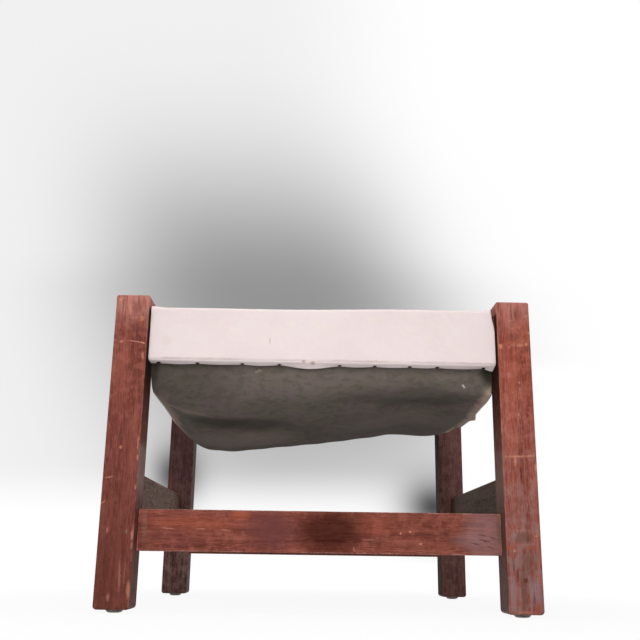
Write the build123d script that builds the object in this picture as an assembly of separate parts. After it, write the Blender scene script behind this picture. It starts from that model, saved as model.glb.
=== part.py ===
from build123d import *
import math
import os

# Low footstool: a square timber frame of four posts, with a thick leather sling
# that wraps the two seat rails and sags between them as a deep pocket.
# Millimetres. +Z is up, the front faces -Y and +X is to the right of a viewer in front.
# The origin is the middle of the footprint, on the surface that the glides stand on.

# The whole stool
width = 548.0  # over the posts, left to right
depth = 520.0  # over the posts, front to back
post_length = 400.0  # the timber alone

# Posts, square in section
post_side = 44.0
post_arris = 2.0
post_top_round = 3.0
post_foot_round = 4.5

# Pressed steel glides, nailed up into the feet
glide_radius = 11.0
glide_proud = 4.0
glide_flat_radius = 6.0
glide_wall = 1.2
glide_nail_radius = 1.3
glide_nail_length = 15.0

# Stretchers, front and rear, and the side boards, all of one board section
board_height = 52.0
board_thickness = 19.0
board_arris = 1.5
stretcher_bottom = 74.0
stretcher_setback = 2.0  # from the inner face of the posts
side_board_bottom = 127.5
side_board_recess = 5.0  # inside the outer face of the posts

# Seat rails, which the leather wraps
rail_height = 67.0
rail_thickness = 24.0
rail_round = 3.0
rail_drop = 16.5  # from the top of the posts
rail_recess = 11.0  # behind the face of the posts

# Mortise and tenon joints
tenon_length = 28.0
tenon_shoulder = 5.0  # from a board's face to its tenon's cheek
tenon_edge = 8.0  # from a board's edge to its tenon's edge
rail_shoulder = 6.0
joint_clearance = 0.1
mortise_spare = 1.0  # beyond the tenon's end

# Leather sling
leather = 3.0
sling_side_gap = 1.0  # from the posts to the sling's cut edges
hem_depth = 16.0  # tucked under each rail
leather_bend = 2.0  # inside radius at the rails' long edges
sling_drop = 83.0  # from the rails' underside down to the lowest underside
sling_cling = 3.0  # how far below the rails the sheet still hangs straight
cuff_length = 40.0  # the part of the wrap that lies flat on a rail's inner face
left_edge_bow = 8.0  # how far the left cut edge draws in at mid span
right_edge_bow = 1.0

# The sheet turns out of the rails on this share of its drop below them
sling_turn_share = 0.62

# The hang of the sheet, station by station from the left edge to the right:
# place across, sag, and how far down it follows the front and the rear rail.
# The shares are of half the sling's width, of sling_sag, which is the rails' height and
# sling_drop together, and of sling_leave, which is their height and sling_cling.
sling_hang_shares = [
    (-1.000, 0.807, 1.13, 1.17),
    (-0.930, 0.907, 1.11, 1.12),
    (-0.850, 0.972, 1.08, 1.07),
    (-0.720, 1.000, 1.03, 1.02),
    (-0.420, 0.964, 0.96, 0.97),
    (-0.130, 0.913, 0.95, 0.96),
    (0.230, 0.833, 0.95, 0.96),
    (0.480, 0.763, 0.96, 0.96),
    (0.610, 0.716, 0.98, 0.96),
    (0.770, 0.746, 1.06, 0.92),
    (0.900, 0.765, 1.20, 0.86),
    (1.000, 0.737, 1.30, 0.80),
]

# A station between two of the table's takes these shares of the two beside it and of
# the next one out on each side, so that the sheet runs in one smooth curve
station_near_share = 9 / 16
station_far_share = -1 / 16

# Hem tacks, in a row near the cut end of each hem
tack_head_radius = 3.0
tack_head_sides = 12
tack_head_flat_share = 0.55  # the flat crown's radius against the head's
tack_head_height = 1.3
tack_shank_side = 1.7  # square, as on a cut tack
tack_shank_length = 12.0
tack_point_share = 0.25  # the point's side against the shank's
tack_inset = 5.0  # from the hem's cut end
tack_clearance = 0.1
front_tack_shares = [-0.95, -0.725, -0.465, -0.25, 0.10, 0.305, 0.51, 0.67, 0.94]
rear_tack_count = 10
rear_tack_reach_share = 0.93

overrun = 3.0  # how far each cutter runs past what it cuts

# Worked out from the values above
post_top = glide_proud + post_length
post_x = (width - post_side) / 2
post_y = (depth - post_side) / 2
inner_span_x = width - 2 * post_side
inner_span_y = depth - 2 * post_side
stretcher_y = (inner_span_y + board_thickness) / 2 + stretcher_setback
side_board_x = (width - board_thickness) / 2 - side_board_recess
rail_y = (depth - rail_thickness) / 2 - rail_recess
rail_inner_y = rail_y - rail_thickness / 2
rail_outer_y = rail_y + rail_thickness / 2
rail_top = post_top - rail_drop
rail_bottom = rail_top - rail_height
sling_half_width = inner_span_x / 2 - sling_side_gap
sling_sag = rail_height + sling_drop
sling_leave = rail_height + sling_cling
cuff_bottom = rail_top - cuff_length
hem_end_y = rail_outer_y - hem_depth
tack_y = hem_end_y + tack_inset


def rounded_board(length, thickness, height, arris):
    """A board along X, centred on X and Y and standing on Z zero, with its long edges eased."""
    board = Box(length, thickness, height, align=(Align.CENTER, Align.CENTER, Align.MIN))
    return fillet(board.edges().filter_by(Axis.X), radius=arris)


def tenoned_board(span, thickness, height, arris, shoulder, edge):
    """A board that spans between two posts along X, with a tenon at each end."""
    body = rounded_board(span, thickness, height, arris)
    tongue = Box(
        span + 2 * tenon_length,
        thickness - 2 * shoulder,
        height - 2 * edge,
        align=(Align.CENTER, Align.CENTER, Align.MIN),
    )
    return body + Pos(0, 0, edge) * tongue


def mortise(thickness, height, shoulder, edge):
    """The cutter for one mortise: it starts at X zero, runs along +X and stands on Z zero."""
    opening_thickness = thickness - 2 * shoulder + 2 * joint_clearance
    opening_height = height - 2 * edge + 2 * joint_clearance
    pocket = Box(
        tenon_length + mortise_spare + overrun,
        opening_thickness,
        opening_height,
        align=(Align.MIN, Align.CENTER, Align.MIN),
    )
    return Pos(-overrun, 0, edge - joint_clearance) * pocket


def stretcher(side):
    """The front (side -1) or rear (side 1) stretcher."""
    board = tenoned_board(
        inner_span_x, board_thickness, board_height, board_arris, tenon_shoulder, tenon_edge
    )
    return Pos(0, side * stretcher_y, stretcher_bottom) * board


def side_board(side):
    """The left (side -1) or right (side 1) board between a front and a rear post."""
    board = tenoned_board(
        inner_span_y, board_thickness, board_height, board_arris, tenon_shoulder, tenon_edge
    )
    return Pos(side * side_board_x, 0, side_board_bottom) * Rot(0, 0, 90) * board


def tack_places(side):
    """Where the tacks of one hem stand along X."""
    if side < 0:
        return [share * sling_half_width for share in front_tack_shares]
    reach = rear_tack_reach_share * sling_half_width
    pitch = 2 * reach / (rear_tack_count - 1)
    return [i * pitch - reach for i in range(rear_tack_count)]


def tack_holes(side):
    """Cutters for the shanks of one hem's tacks, through the leather and into the rail."""
    hole = Box(
        tack_shank_side + 2 * tack_clearance,
        tack_shank_side + 2 * tack_clearance,
        tack_shank_length + overrun,
        align=(Align.CENTER, Align.CENTER, Align.MIN),
    )
    bottom = rail_bottom - leather - overrun
    return [Pos(x, side * tack_y, bottom) * hole for x in tack_places(side)]


def seat_rail(side):
    """The front (side -1) or rear (side 1) seat rail, drilled for the hem tacks."""
    board = tenoned_board(
        inner_span_x, rail_thickness, rail_height, rail_round, rail_shoulder, tenon_edge
    )
    rail = Pos(0, side * rail_y, rail_bottom) * board
    return rail - tack_holes(side)


def post(side_x, side_y):
    """One corner post with its three mortises and the hole for the glide's nail."""
    timber = Pos(0, 0, glide_proud) * Box(
        post_side, post_side, post_length, align=(Align.CENTER, Align.CENTER, Align.MIN)
    )
    timber = fillet(timber.edges().filter_by(Axis.Z), radius=post_arris)
    timber = fillet(timber.faces().sort_by(Axis.Z)[-1].edges(), radius=post_top_round)
    timber = fillet(timber.faces().sort_by(Axis.Z)[0].edges(), radius=post_foot_round)
    timber = Pos(side_x * post_x, side_y * post_y, 0) * timber

    into_post_x = 0 if side_x > 0 else 180
    into_post_y = 90 if side_y > 0 else -90
    stretcher_mortise = mortise(board_thickness, board_height, tenon_shoulder, tenon_edge)
    rail_mortise = mortise(rail_thickness, rail_height, rail_shoulder, tenon_edge)
    inner_face_x = side_x * inner_span_x / 2
    inner_face_y = side_y * inner_span_y / 2
    timber -= (
        Pos(inner_face_x, side_y * stretcher_y, stretcher_bottom)
        * Rot(0, 0, into_post_x)
        * stretcher_mortise
    )
    timber -= (
        Pos(side_x * side_board_x, inner_face_y, side_board_bottom)
        * Rot(0, 0, into_post_y)
        * stretcher_mortise
    )
    timber -= (
        Pos(inner_face_x, side_y * rail_y, rail_bottom) * Rot(0, 0, into_post_x) * rail_mortise
    )
    nail_hole = Cylinder(
        glide_nail_radius + joint_clearance,
        glide_nail_length + mortise_spare + overrun,
        align=(Align.CENTER, Align.CENTER, Align.MIN),
    )
    timber -= Pos(side_x * post_x, side_y * post_y, glide_proud - overrun) * nail_hole
    return timber


def glide(side_x, side_y):
    """A nailed glide: a shallow pressed cup with a flat base, and its nail."""
    rim_inner = glide_radius - glide_wall
    flat_inner = glide_flat_radius - glide_wall / 2
    nail_top = glide_proud + glide_nail_length
    outline = [
        Line((0, 0), (glide_flat_radius, 0)),
        TangentArc((glide_flat_radius, 0), (glide_radius, glide_proud), tangent=(1, 0)),
        Line((glide_radius, glide_proud), (rim_inner, glide_proud)),
        Line((rim_inner, glide_proud), (flat_inner, glide_wall)),
        Line((flat_inner, glide_wall), (glide_nail_radius, glide_wall)),
        Line((glide_nail_radius, glide_wall), (glide_nail_radius, nail_top)),
        Line((glide_nail_radius, nail_top), (0, nail_top)),
        Line((0, nail_top), (0, 0)),
    ]
    profile = Plane.XZ * make_face(outline)
    return Pos(side_x * post_x, side_y * post_y, 0) * revolve(profile, axis=Axis.Z)


def arc_yz(x, centre, radius, start, end):
    """An arc at X about a centre (y, z), from one angle in degrees to another."""
    points = [
        (
            x,
            centre[0] + radius * math.cos(math.radians(angle)),
            centre[1] + radius * math.sin(math.radians(angle)),
        )
        for angle in (start, (start + end) / 2, end)
    ]
    return ThreePointArc(*points)


def joined(x, arcs, start, end):
    """The arcs in turn at X, with a line from a (y, z) start, between them and to the end."""
    pieces = []
    here = (x, *start)
    for arc in arcs:
        there = arc @ 0
        pieces.append(Line(here, there))
        pieces.append(arc)
        here = arc @ 1
    pieces.append(Line(here, (x, *end)))
    return pieces


def cuff():
    """The wrap round the front rail: hem, front face, top and the flat of the inner face."""
    x = -sling_half_width
    outer, inner = -rail_outer_y, -rail_inner_y
    centres = [
        (outer + leather_bend, rail_bottom + leather_bend),
        (outer + leather_bend, rail_top - leather_bend),
        (inner - leather_bend, rail_top - leather_bend),
    ]
    turns = [(270, 180), (180, 90), (90, 0)]
    under = [arc_yz(x, c, leather_bend, a, b) for c, (a, b) in zip(centres, turns)]
    over = [arc_yz(x, c, leather_bend + leather, a, b) for c, (a, b) in zip(centres, turns)]
    hem_end = -hem_end_y
    inside = joined(x, under, (hem_end, rail_bottom), (inner, cuff_bottom))
    outside = joined(x, over, (hem_end, rail_bottom - leather), (inner + leather, cuff_bottom))
    ends = [
        Line((x, hem_end, rail_bottom), (x, hem_end, rail_bottom - leather)),
        Line((x, inner, cuff_bottom), (x, inner + leather, cuff_bottom)),
    ]
    profile = Face(Wire(inside + outside + ends))
    return extrude(profile, amount=2 * sling_half_width, dir=(1, 0, 0))


def bottom_arc(low_z, front_centre, front_turn, rear_centre, rear_turn):
    """The centre and radius of the arc along the bottom, lowest at low_z and touching both turns.

    Its centre's distance to either turn gives its radius, and the two agree in one quadratic.
    """
    span = rear_centre[0] - front_centre[0]
    front_drop, rear_drop = front_centre[1] - low_z, rear_centre[1] - low_z
    front_lift, rear_lift = front_drop - front_turn, rear_drop - rear_turn
    square = 1 / front_lift - 1 / rear_lift
    linear = 2 * span / rear_lift
    constant = front_drop + front_turn - rear_drop - rear_turn - span**2 / rear_lift
    behind = -2 * constant / (linear + math.sqrt(linear**2 - 4 * square * constant))
    radius = (behind**2 / front_lift + front_drop + front_turn) / 2
    return (front_centre[0] + behind, low_z + radius), radius


def heading(here, there):
    """The angle in degrees, from 0 to 360, of the way from one (y, z) place to another."""
    return math.degrees(math.atan2(there[1] - here[1], there[0] - here[0])) % 360


def sag_section(across, sag_share, front_leave_share, rear_leave_share):
    """One station of the hanging sheet, from the front cuff's end to the rear one's."""
    x = across * sling_half_width
    low_z = rail_top - sag_share * sling_sag
    front_z = rail_top - front_leave_share * sling_leave
    rear_z = rail_top - rear_leave_share * sling_leave
    front_turn = sling_turn_share * (front_z - low_z)
    rear_turn = sling_turn_share * (rear_z - low_z)
    front_centre = (-rail_inner_y + front_turn, front_z)
    rear_centre = (rail_inner_y - rear_turn, rear_z)
    centre, bottom = bottom_arc(low_z, front_centre, front_turn, rear_centre, rear_turn)
    front_angle = heading(centre, front_centre)
    rear_angle = heading(centre, rear_centre)

    def side(offset):
        wall = -rail_inner_y + offset
        return [
            Line((x, wall, cuff_bottom), (x, wall, front_z)),
            arc_yz(x, front_centre, front_turn - offset, 180, front_angle),
            arc_yz(x, centre, bottom - offset, front_angle, rear_angle),
            arc_yz(x, rear_centre, rear_turn - offset, rear_angle, 360),
            Line((x, -wall, rear_z), (x, -wall, cuff_bottom)),
        ]

    ends = [
        Line((x, y, cuff_bottom), (x, y + leather, cuff_bottom))
        for y in (-rail_inner_y, rail_inner_y - leather)
    ]
    return Face(Wire(side(0) + side(leather) + ends))


def hang_stations():
    """The stations of the hanging sheet, with one eased in between each two of the table's."""
    rows = [sling_hang_shares[0], *sling_hang_shares, sling_hang_shares[-1]]
    stations = []
    for before, here, there, after in zip(rows, rows[1:], rows[2:], rows[3:]):
        across = (here[0] + there[0]) / 2
        hang = [
            station_near_share * (b + c) + station_far_share * (a + d)
            for a, b, c, d in zip(before[1:], here[1:], there[1:], after[1:])
        ]
        stations += [here, (across, *hang)]
    return [*stations, sling_hang_shares[-1]]


def edge_trim(side):
    """The cutter that draws one free edge of the hanging sheet in towards the middle."""
    edge = side * sling_half_width
    beyond = side * (sling_half_width + overrun)
    reach = rail_inner_y - leather
    drawn_in = side * (left_edge_bow if side < 0 else right_edge_bow)
    bow = ThreePointArc((edge, -reach), (edge - drawn_in, 0), (edge, reach))
    outline = [
        bow,
        Line((edge, reach), (beyond, reach)),
        Line((beyond, reach), (beyond, -reach)),
        Line((beyond, -reach), (edge, -reach)),
    ]
    return extrude(make_face(outline), amount=cuff_bottom)


def leather_sling():
    """The whole hide: both cuffs and the pocket between them, in one piece."""
    pocket = loft([sag_section(*shares) for shares in hang_stations()], ruled=True)
    pocket -= [edge_trim(-1), edge_trim(1)]
    sling = pocket + cuff() + mirror(cuff(), about=Plane.XZ)
    return sling - tack_holes(-1) - tack_holes(1)


def tack(x, y):
    """One cut tack, driven up: a low bevelled head under the leather and its tapered square shank."""
    rim = RegularPolygon(tack_head_radius, tack_head_sides)
    crown_radius = tack_head_flat_share * tack_head_radius
    crown = Pos(0, 0, -tack_head_height) * RegularPolygon(crown_radius, tack_head_sides)
    root = Rectangle(tack_shank_side, tack_shank_side)
    point_side = tack_point_share * tack_shank_side
    point = Pos(0, 0, tack_shank_length) * Rectangle(point_side, point_side)
    whole = loft([crown, rim], ruled=True) + loft([root, point], ruled=True)
    return Pos(x, y, rail_bottom - leather) * whole


def hem_tacks(side):
    """All the tacks of one hem, as separate pieces."""
    return Compound([tack(x, side * tack_y) for x in tack_places(side)])


corners = {
    "front_left": (-1, -1),
    "front_right": (1, -1),
    "rear_left": (-1, 1),
    "rear_right": (1, 1),
}

parts = {
    "front_stretcher": stretcher(-1),
    "rear_stretcher": stretcher(1),
    "side_board_left": side_board(-1),
    "side_board_right": side_board(1),
    "front_seat_rail": seat_rail(-1),
    "rear_seat_rail": seat_rail(1),
    "leather_sling": leather_sling(),
    "front_hem_tacks": hem_tacks(-1),
    "rear_hem_tacks": hem_tacks(1),
}
for corner, sides in corners.items():
    parts["post_" + corner] = post(*sides)
    parts["glide_" + corner] = glide(*sides)

os.makedirs("parts", exist_ok=True)
for name, shape in parts.items():
    export_step(shape, "parts/" + name + ".step")
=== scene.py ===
"""Looks of a low timber footstool with a sagging leather sling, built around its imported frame."""

import logging
import math
from dataclasses import dataclass
from enum import Enum
from typing import Mapping, Sequence, Union

import bpy
import numpy as np
from mathutils import Matrix, Vector


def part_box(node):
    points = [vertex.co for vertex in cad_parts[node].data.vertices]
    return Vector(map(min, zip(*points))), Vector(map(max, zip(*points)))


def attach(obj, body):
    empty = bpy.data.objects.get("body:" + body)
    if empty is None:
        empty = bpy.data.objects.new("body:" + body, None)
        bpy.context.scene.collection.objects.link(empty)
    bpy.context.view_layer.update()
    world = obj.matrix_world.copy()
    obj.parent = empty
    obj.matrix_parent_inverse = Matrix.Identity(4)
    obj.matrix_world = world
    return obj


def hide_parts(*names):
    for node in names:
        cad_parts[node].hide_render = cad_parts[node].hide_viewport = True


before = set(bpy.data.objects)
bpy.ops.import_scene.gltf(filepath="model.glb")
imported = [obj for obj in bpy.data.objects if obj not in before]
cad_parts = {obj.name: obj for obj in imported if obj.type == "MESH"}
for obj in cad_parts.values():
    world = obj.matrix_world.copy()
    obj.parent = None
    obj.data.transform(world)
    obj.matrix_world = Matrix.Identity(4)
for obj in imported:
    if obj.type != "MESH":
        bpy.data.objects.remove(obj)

log = logging.getLogger("footstool")
logging.basicConfig(level=logging.INFO, format="%(name)s: %(message)s")

MM = 0.001
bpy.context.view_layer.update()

Socket = bpy.types.NodeSocket
Feed = Union[Socket, float, tuple]
Colour = tuple[float, float, float, float]
Triple = tuple[float, float, float]
ByColumn = Union[float, np.ndarray]


def screen(red: float, green: float, blue: float) -> Colour:
    """Turn a colour in screen values into the linear one that shaders take.

    Args:
        red: Red from 0 to 255, as on a screen.
        green: Green from 0 to 255.
        blue: Blue from 0 to 255.

    Returns:
        Linear red, green and blue, and full opacity.
    """
    shares = [value / 255 for value in (red, green, blue)]
    linear = [s / 12.92 if s <= 0.04045 else ((s + 0.055) / 1.055) ** 2.4 for s in shares]
    return (*linear, 1.0)


WHITE = screen(255, 255, 255)


def metres(*lengths: float) -> tuple[float, ...]:
    """Turn millimetres into metres."""
    return tuple(length * MM for length in lengths)


class Wiring:
    """Adds shader nodes to one tree and joins them up."""

    MIX_UNDER = 6
    MIX_OVER = 7
    MIX_RESULT = 2

    def __init__(self, tree: bpy.types.NodeTree) -> None:
        """Work in a node tree."""
        self.tree = tree

    def feed(self, socket: Socket, value: Feed) -> None:
        """Join a socket to another, or set its value.

        Args:
            socket: The input to feed.
            value: An output to join it to, or a plain value.
        """
        if isinstance(value, Socket):
            self.tree.links.new(value, socket)
        elif isinstance(value, tuple) or socket.type == "VALUE":
            socket.default_value = value
        else:
            socket.default_value = (value,) * len(socket.default_value)

    def node(self, kind: str, feeds: Mapping | None = None, **settings) -> bpy.types.Node:
        """Add one node.

        Args:
            kind: The node's type name.
            feeds: What goes into its inputs, by their name or number.
            **settings: Its own settings, by attribute.

        Returns:
            The new node.
        """
        made = self.tree.nodes.new(kind)
        for name, value in settings.items():
            setattr(made, name, value)
        for name, value in (feeds or {}).items():
            self.feed(made.inputs[name], value)
        return made

    def place(self, effect: "Effect", **feeds: Feed) -> Mapping[str, Socket]:
        """Place an effect, with its inputs' names in lower case, and return its outputs."""
        named = {name.capitalize(): value for name, value in feeds.items()}
        return self.node("ShaderNodeGroup", named, node_tree=effect.tree).outputs

    def math(self, how: str, *values: Feed) -> Socket:
        """Do one sum, such as ADD or MULTIPLY, on one or two values."""
        return self.node("ShaderNodeMath", dict(enumerate(values)), operation=how).outputs[0]

    def vector(self, how: str, *values: Feed) -> Socket:
        """Do one sum on vectors, and return its vector, or its value for LENGTH."""
        made = self.node("ShaderNodeVectorMath", dict(enumerate(values)), operation=how)
        return made.outputs["Value" if how == "LENGTH" else "Vector"]

    def parts(self, vector: Feed) -> tuple[Socket, ...]:
        """Split a vector into its three parts."""
        return tuple(self.node("ShaderNodeSeparateXYZ", {0: vector}).outputs)

    def times(self, *factors: Feed) -> Feed:
        """Multiply values, such as masks.

        Args:
            *factors: One value or more.

        Returns:
            Their product.
        """
        product = factors[0]
        for factor in factors[1:]:
            product = self.math("MULTIPLY", product, factor)
        return product

    def apart(self, first: Feed, second: Feed) -> Socket:
        """How far two values are apart."""
        return self.math("ABSOLUTE", self.math("SUBTRACT", first, second))

    def swing(self, value: Feed, reach: float) -> Socket:
        """Turn noise from 0 to 1 into a shift to both sides."""
        return self.times(self.math("SUBTRACT", value, 0.5), reach)

    def bell(self, *distances: tuple[Feed, float]) -> Socket:
        """Fade from 1 towards 0 with distance.

        Args:
            *distances: Each distance, where it has faded well, with the power it counts by.

        Returns:
            The faded value.
        """
        total: Feed = 0.0
        for distance, power in distances:
            total = self.math("ADD", total, self.math("POWER", distance, power))
        return self.math("EXPONENT", self.times(total, -1.0))

    def blend(self, under: Feed, over: Feed, *shares: Feed) -> Socket:
        """Lay one colour over another.

        Args:
            under: The lower colour.
            over: The upper colour.
            *shares: Masks from 0 to 1, whose product is how much of the upper colour shows.

        Returns:
            The mixed colour.
        """
        feeds = {0: self.times(*shares), self.MIX_UNDER: under, self.MIX_OVER: over}
        return self.node("ShaderNodeMix", feeds, data_type="RGBA").outputs[self.MIX_RESULT]

    def span(
        self, value: Feed, low: float, high: float, to_low: float = 0.0, to_high: float = 1.0
    ) -> Socket:
        """Ease a value from one range into another.

        Args:
            value: The value to map.
            low: Where the range starts; it may be the larger end.
            high: Where the range ends.
            to_low: What the start maps to.
            to_high: What the end maps to.

        Returns:
            The eased value, held at both ends.
        """
        feeds = {"Value": value, "From Min": low, "From Max": high, "To Min": to_low, "To Max": to_high}
        return self.node("ShaderNodeMapRange", feeds, interpolation_type="SMOOTHSTEP").outputs["Result"]

    def span_mm(self, place: Feed, low: float, high: float, *ends: float) -> Socket:
        """Ease a place in metres, from a range in millimetres, into another range."""
        return self.span(place, low * MM, high * MM, *ends)

    def noise(
        self,
        point: Feed,
        size: float,
        detail: float = 3.0,
        roughness: float = 0.5,
        twist: float = 0.0,
        threefold: bool = False,
    ) -> Socket:
        """Add cloudy noise.

        Args:
            point: Where it is sampled, in metres.
            size: The breadth of one cloud, in millimetres.
            detail: How many finer layers it has.
            roughness: How strong the finer layers are.
            twist: How far it is distorted.
            threefold: Whether it gives three values at each place, as a vector.

        Returns:
            The noise, from 0 to 1.
        """
        feeds = {
            "Vector": point,
            "Scale": 1 / (size * MM),
            "Detail": detail,
            "Roughness": roughness,
            "Distortion": twist,
        }
        return self.node("ShaderNodeTexNoise", feeds).outputs[1 if threefold else 0]

    def cell_edges(self, point: Feed, size: float) -> Socket:
        """Split the surface into cells of a breadth in millimetres, and measure from their edges."""
        feeds = {"Vector": point, "Scale": 1 / (size * MM)}
        return self.node("ShaderNodeTexVoronoi", feeds, feature="DISTANCE_TO_EDGE").outputs["Distance"]


class Effect:
    """A shader node group with named inputs and outputs, which several materials share."""

    POINT = "NodeSocketVector"
    VALUE = "NodeSocketFloat"

    def __init__(self, name: str, points: Sequence[str], values: Sequence[str], gives: Sequence[str]) -> None:
        """Make an empty group.

        Args:
            name: The group's name.
            points: Its inputs that are places, sizes or turns.
            values: Its inputs that are single values.
            gives: Its outputs, which are all single values.
        """
        self.tree = bpy.data.node_groups.new(name, "ShaderNodeTree")
        kinds = (("INPUT", self.POINT, points), ("INPUT", self.VALUE, values), ("OUTPUT", self.VALUE, gives))
        for in_out, kind, sockets in kinds:
            for socket in sockets:
                self.tree.interface.new_socket(name=socket, in_out=in_out, socket_type=kind)
        self.wiring = Wiring(self.tree)
        self.given = self.wiring.node("NodeGroupInput").outputs
        self.result = self.wiring.node("NodeGroupOutput").inputs

    def give(self, name: str, value: Feed) -> None:
        """Send a value out of the group."""
        self.wiring.feed(self.result[name], value)


def long_grain_effect() -> Effect:
    """Sawn timber: broad figure, growth lines, fine streaks and open pores along the grain.

    Returns:
        The effect.
    """
    outputs = ("Figure", "Streaks", "Rings", "Pores")
    effect = Effect("long_grain", ("Point", "Stretch", "Offset"), (), outputs)
    w, given = effect.wiring, effect.given
    moved = w.vector("ADD", given["Point"], given["Offset"])
    along = w.vector("MULTIPLY", moved, given["Stretch"])
    sway = w.noise(along, size=26, detail=2, threefold=True)
    swayed = w.vector("MULTIPLY_ADD", sway, metres(9, 9, 9), along)
    ring_breadth = 2.6 * MM
    rings = w.math("PINGPONG", w.math("DIVIDE", w.vector("LENGTH", swayed), ring_breadth), 1.0)
    pores = w.noise(along, size=0.85, detail=2, roughness=0.7)
    sparse = w.noise(along, size=7, detail=2)
    opened = w.math("ADD", pores, w.times(sparse, 0.35))
    effect.give("Figure", w.span(w.noise(swayed, size=17, detail=4, roughness=0.6), 0.3, 0.7))
    effect.give("Streaks", w.span(w.noise(swayed, size=3.4, detail=4, roughness=0.65), 0.28, 0.72))
    effect.give("Rings", rings)
    effect.give("Pores", w.span(opened, 0.66, 0.86))
    return effect


def arris_wear_effect() -> Effect:
    """Wear along the edges of a box-shaped timber, broken up by noise.

    Returns:
        The effect.
    """
    effect = Effect("arris_wear", ("Point", "Centre", "Half"), ("Width", "Ragged"), ("Mask",))
    w, given = effect.wiring, effect.given
    away = w.vector("ABSOLUTE", w.vector("SUBTRACT", given["Point"], given["Centre"]))
    x, y, z = w.parts(w.vector("SUBTRACT", away, given["Half"]))
    outer, inner = w.math("MAXIMUM", x, y), w.math("MINIMUM", x, y)
    second = w.math("MAXIMUM", inner, w.math("MINIMUM", outer, z))
    patchy = w.noise(given["Point"], size=24, detail=5, roughness=0.7)
    breadth = w.times(given["Width"], w.span(patchy, 0.35, 0.68, 0.15, 1.6))
    crumbs = w.noise(given["Point"], size=2.2, detail=3, roughness=0.7)
    ragged = w.math("ADD", w.times(second, -1.0), w.swing(crumbs, given["Ragged"]))
    effect.give("Mask", w.span(w.math("DIVIDE", ragged, breadth), 1.0, 0.1))
    return effect


def mark_effect() -> Effect:
    """One soft-edged spot, streak or scratch.

    Returns:
        The effect.
    """
    effect = Effect("mark", ("Point", "Centre", "Reach", "Turn"), (), ("Mask",))
    w, given = effect.wiring, effect.given
    away = w.vector("SUBTRACT", given["Point"], given["Centre"])
    feeds = {"Vector": away, "Rotation": given["Turn"]}
    turned = w.node("ShaderNodeVectorRotate", feeds, rotation_type="EULER_XYZ").outputs[0]
    far = w.vector("LENGTH", w.vector("DIVIDE", turned, given["Reach"]))
    effect.give("Mask", w.span(far, 1.15, 0.35))
    return effect


def clouds_effect() -> Effect:
    """Soft uneven staining, in two sizes of cloud.

    Returns:
        The effect.
    """
    effect = Effect("clouds", ("Point", "Scale", "Offset"), (), ("Broad", "Fine"))
    w, given = effect.wiring, effect.given
    place = w.vector("MULTIPLY_ADD", given["Point"], given["Scale"], given["Offset"])
    broad = w.noise(place, size=46, detail=3, roughness=0.55, twist=0.6)
    effect.give("Broad", w.span(broad, 0.34, 0.66))
    effect.give("Fine", w.span(w.noise(place, size=11, detail=4, roughness=0.62), 0.32, 0.68))
    return effect


def hide_effect() -> Effect:
    """The skin of a hide: fine pebble, shallow creases and a fibrous nap.

    Returns:
        The effect.
    """
    effect = Effect("hide", ("Point",), (), ("Pebble", "Creases", "Nap"))
    w, point = effect.wiring, effect.given["Point"]
    wander = w.noise(point, size=3.0, detail=2, threefold=True)
    moved = w.vector("MULTIPLY_ADD", wander, metres(1.6, 1.6, 1.6), point)
    effect.give("Pebble", w.span(w.cell_edges(moved, size=1.5), 0.0, 0.28))
    effect.give("Creases", w.span(w.cell_edges(moved, size=13), 0.05, 0.0))
    effect.give("Nap", w.span(w.noise(point, size=1.1, detail=4, roughness=0.75), 0.25, 0.75))
    return effect


class Effects:
    """All shared effects, each built once."""

    def __init__(self) -> None:
        """Build the groups."""
        self.long_grain = long_grain_effect()
        self.arris_wear = arris_wear_effect()
        self.mark = mark_effect()
        self.clouds = clouds_effect()
        self.hide = hide_effect()


def bare_material(name: str) -> tuple[bpy.types.Material, Wiring]:
    """Start a material without nodes.

    Args:
        name: The material's name.

    Returns:
        The material and the wiring of its nodes.
    """
    material = bpy.data.materials.new(name)
    material.use_nodes = True
    material.node_tree.nodes.clear()
    return material, Wiring(material.node_tree)


class HideTone(Enum):
    """The colours of spots on the hide: rust stains, pale flecks and a pale edge, and painted shade, painted
    light and a painted highlight.
    """

    PAINTED_SHADE = screen(52, 48, 40)
    PAINTED_LIGHT = screen(156, 142, 134)
    PALE_EDGE_AND_HIGHLIGHT = screen(202, 176, 160)
    FLECK = screen(236, 220, 214)
    RUST = screen(150, 84, 70)


@dataclass(frozen=True)
class Spot:
    """A soft spot on the hide, in millimetres, turned counter-clockwise as seen from above."""

    x: float
    y: float
    z: float
    wide: float
    deep: float
    tall: float
    tone: HideTone
    strength: float
    turn: float = 0.0


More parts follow.
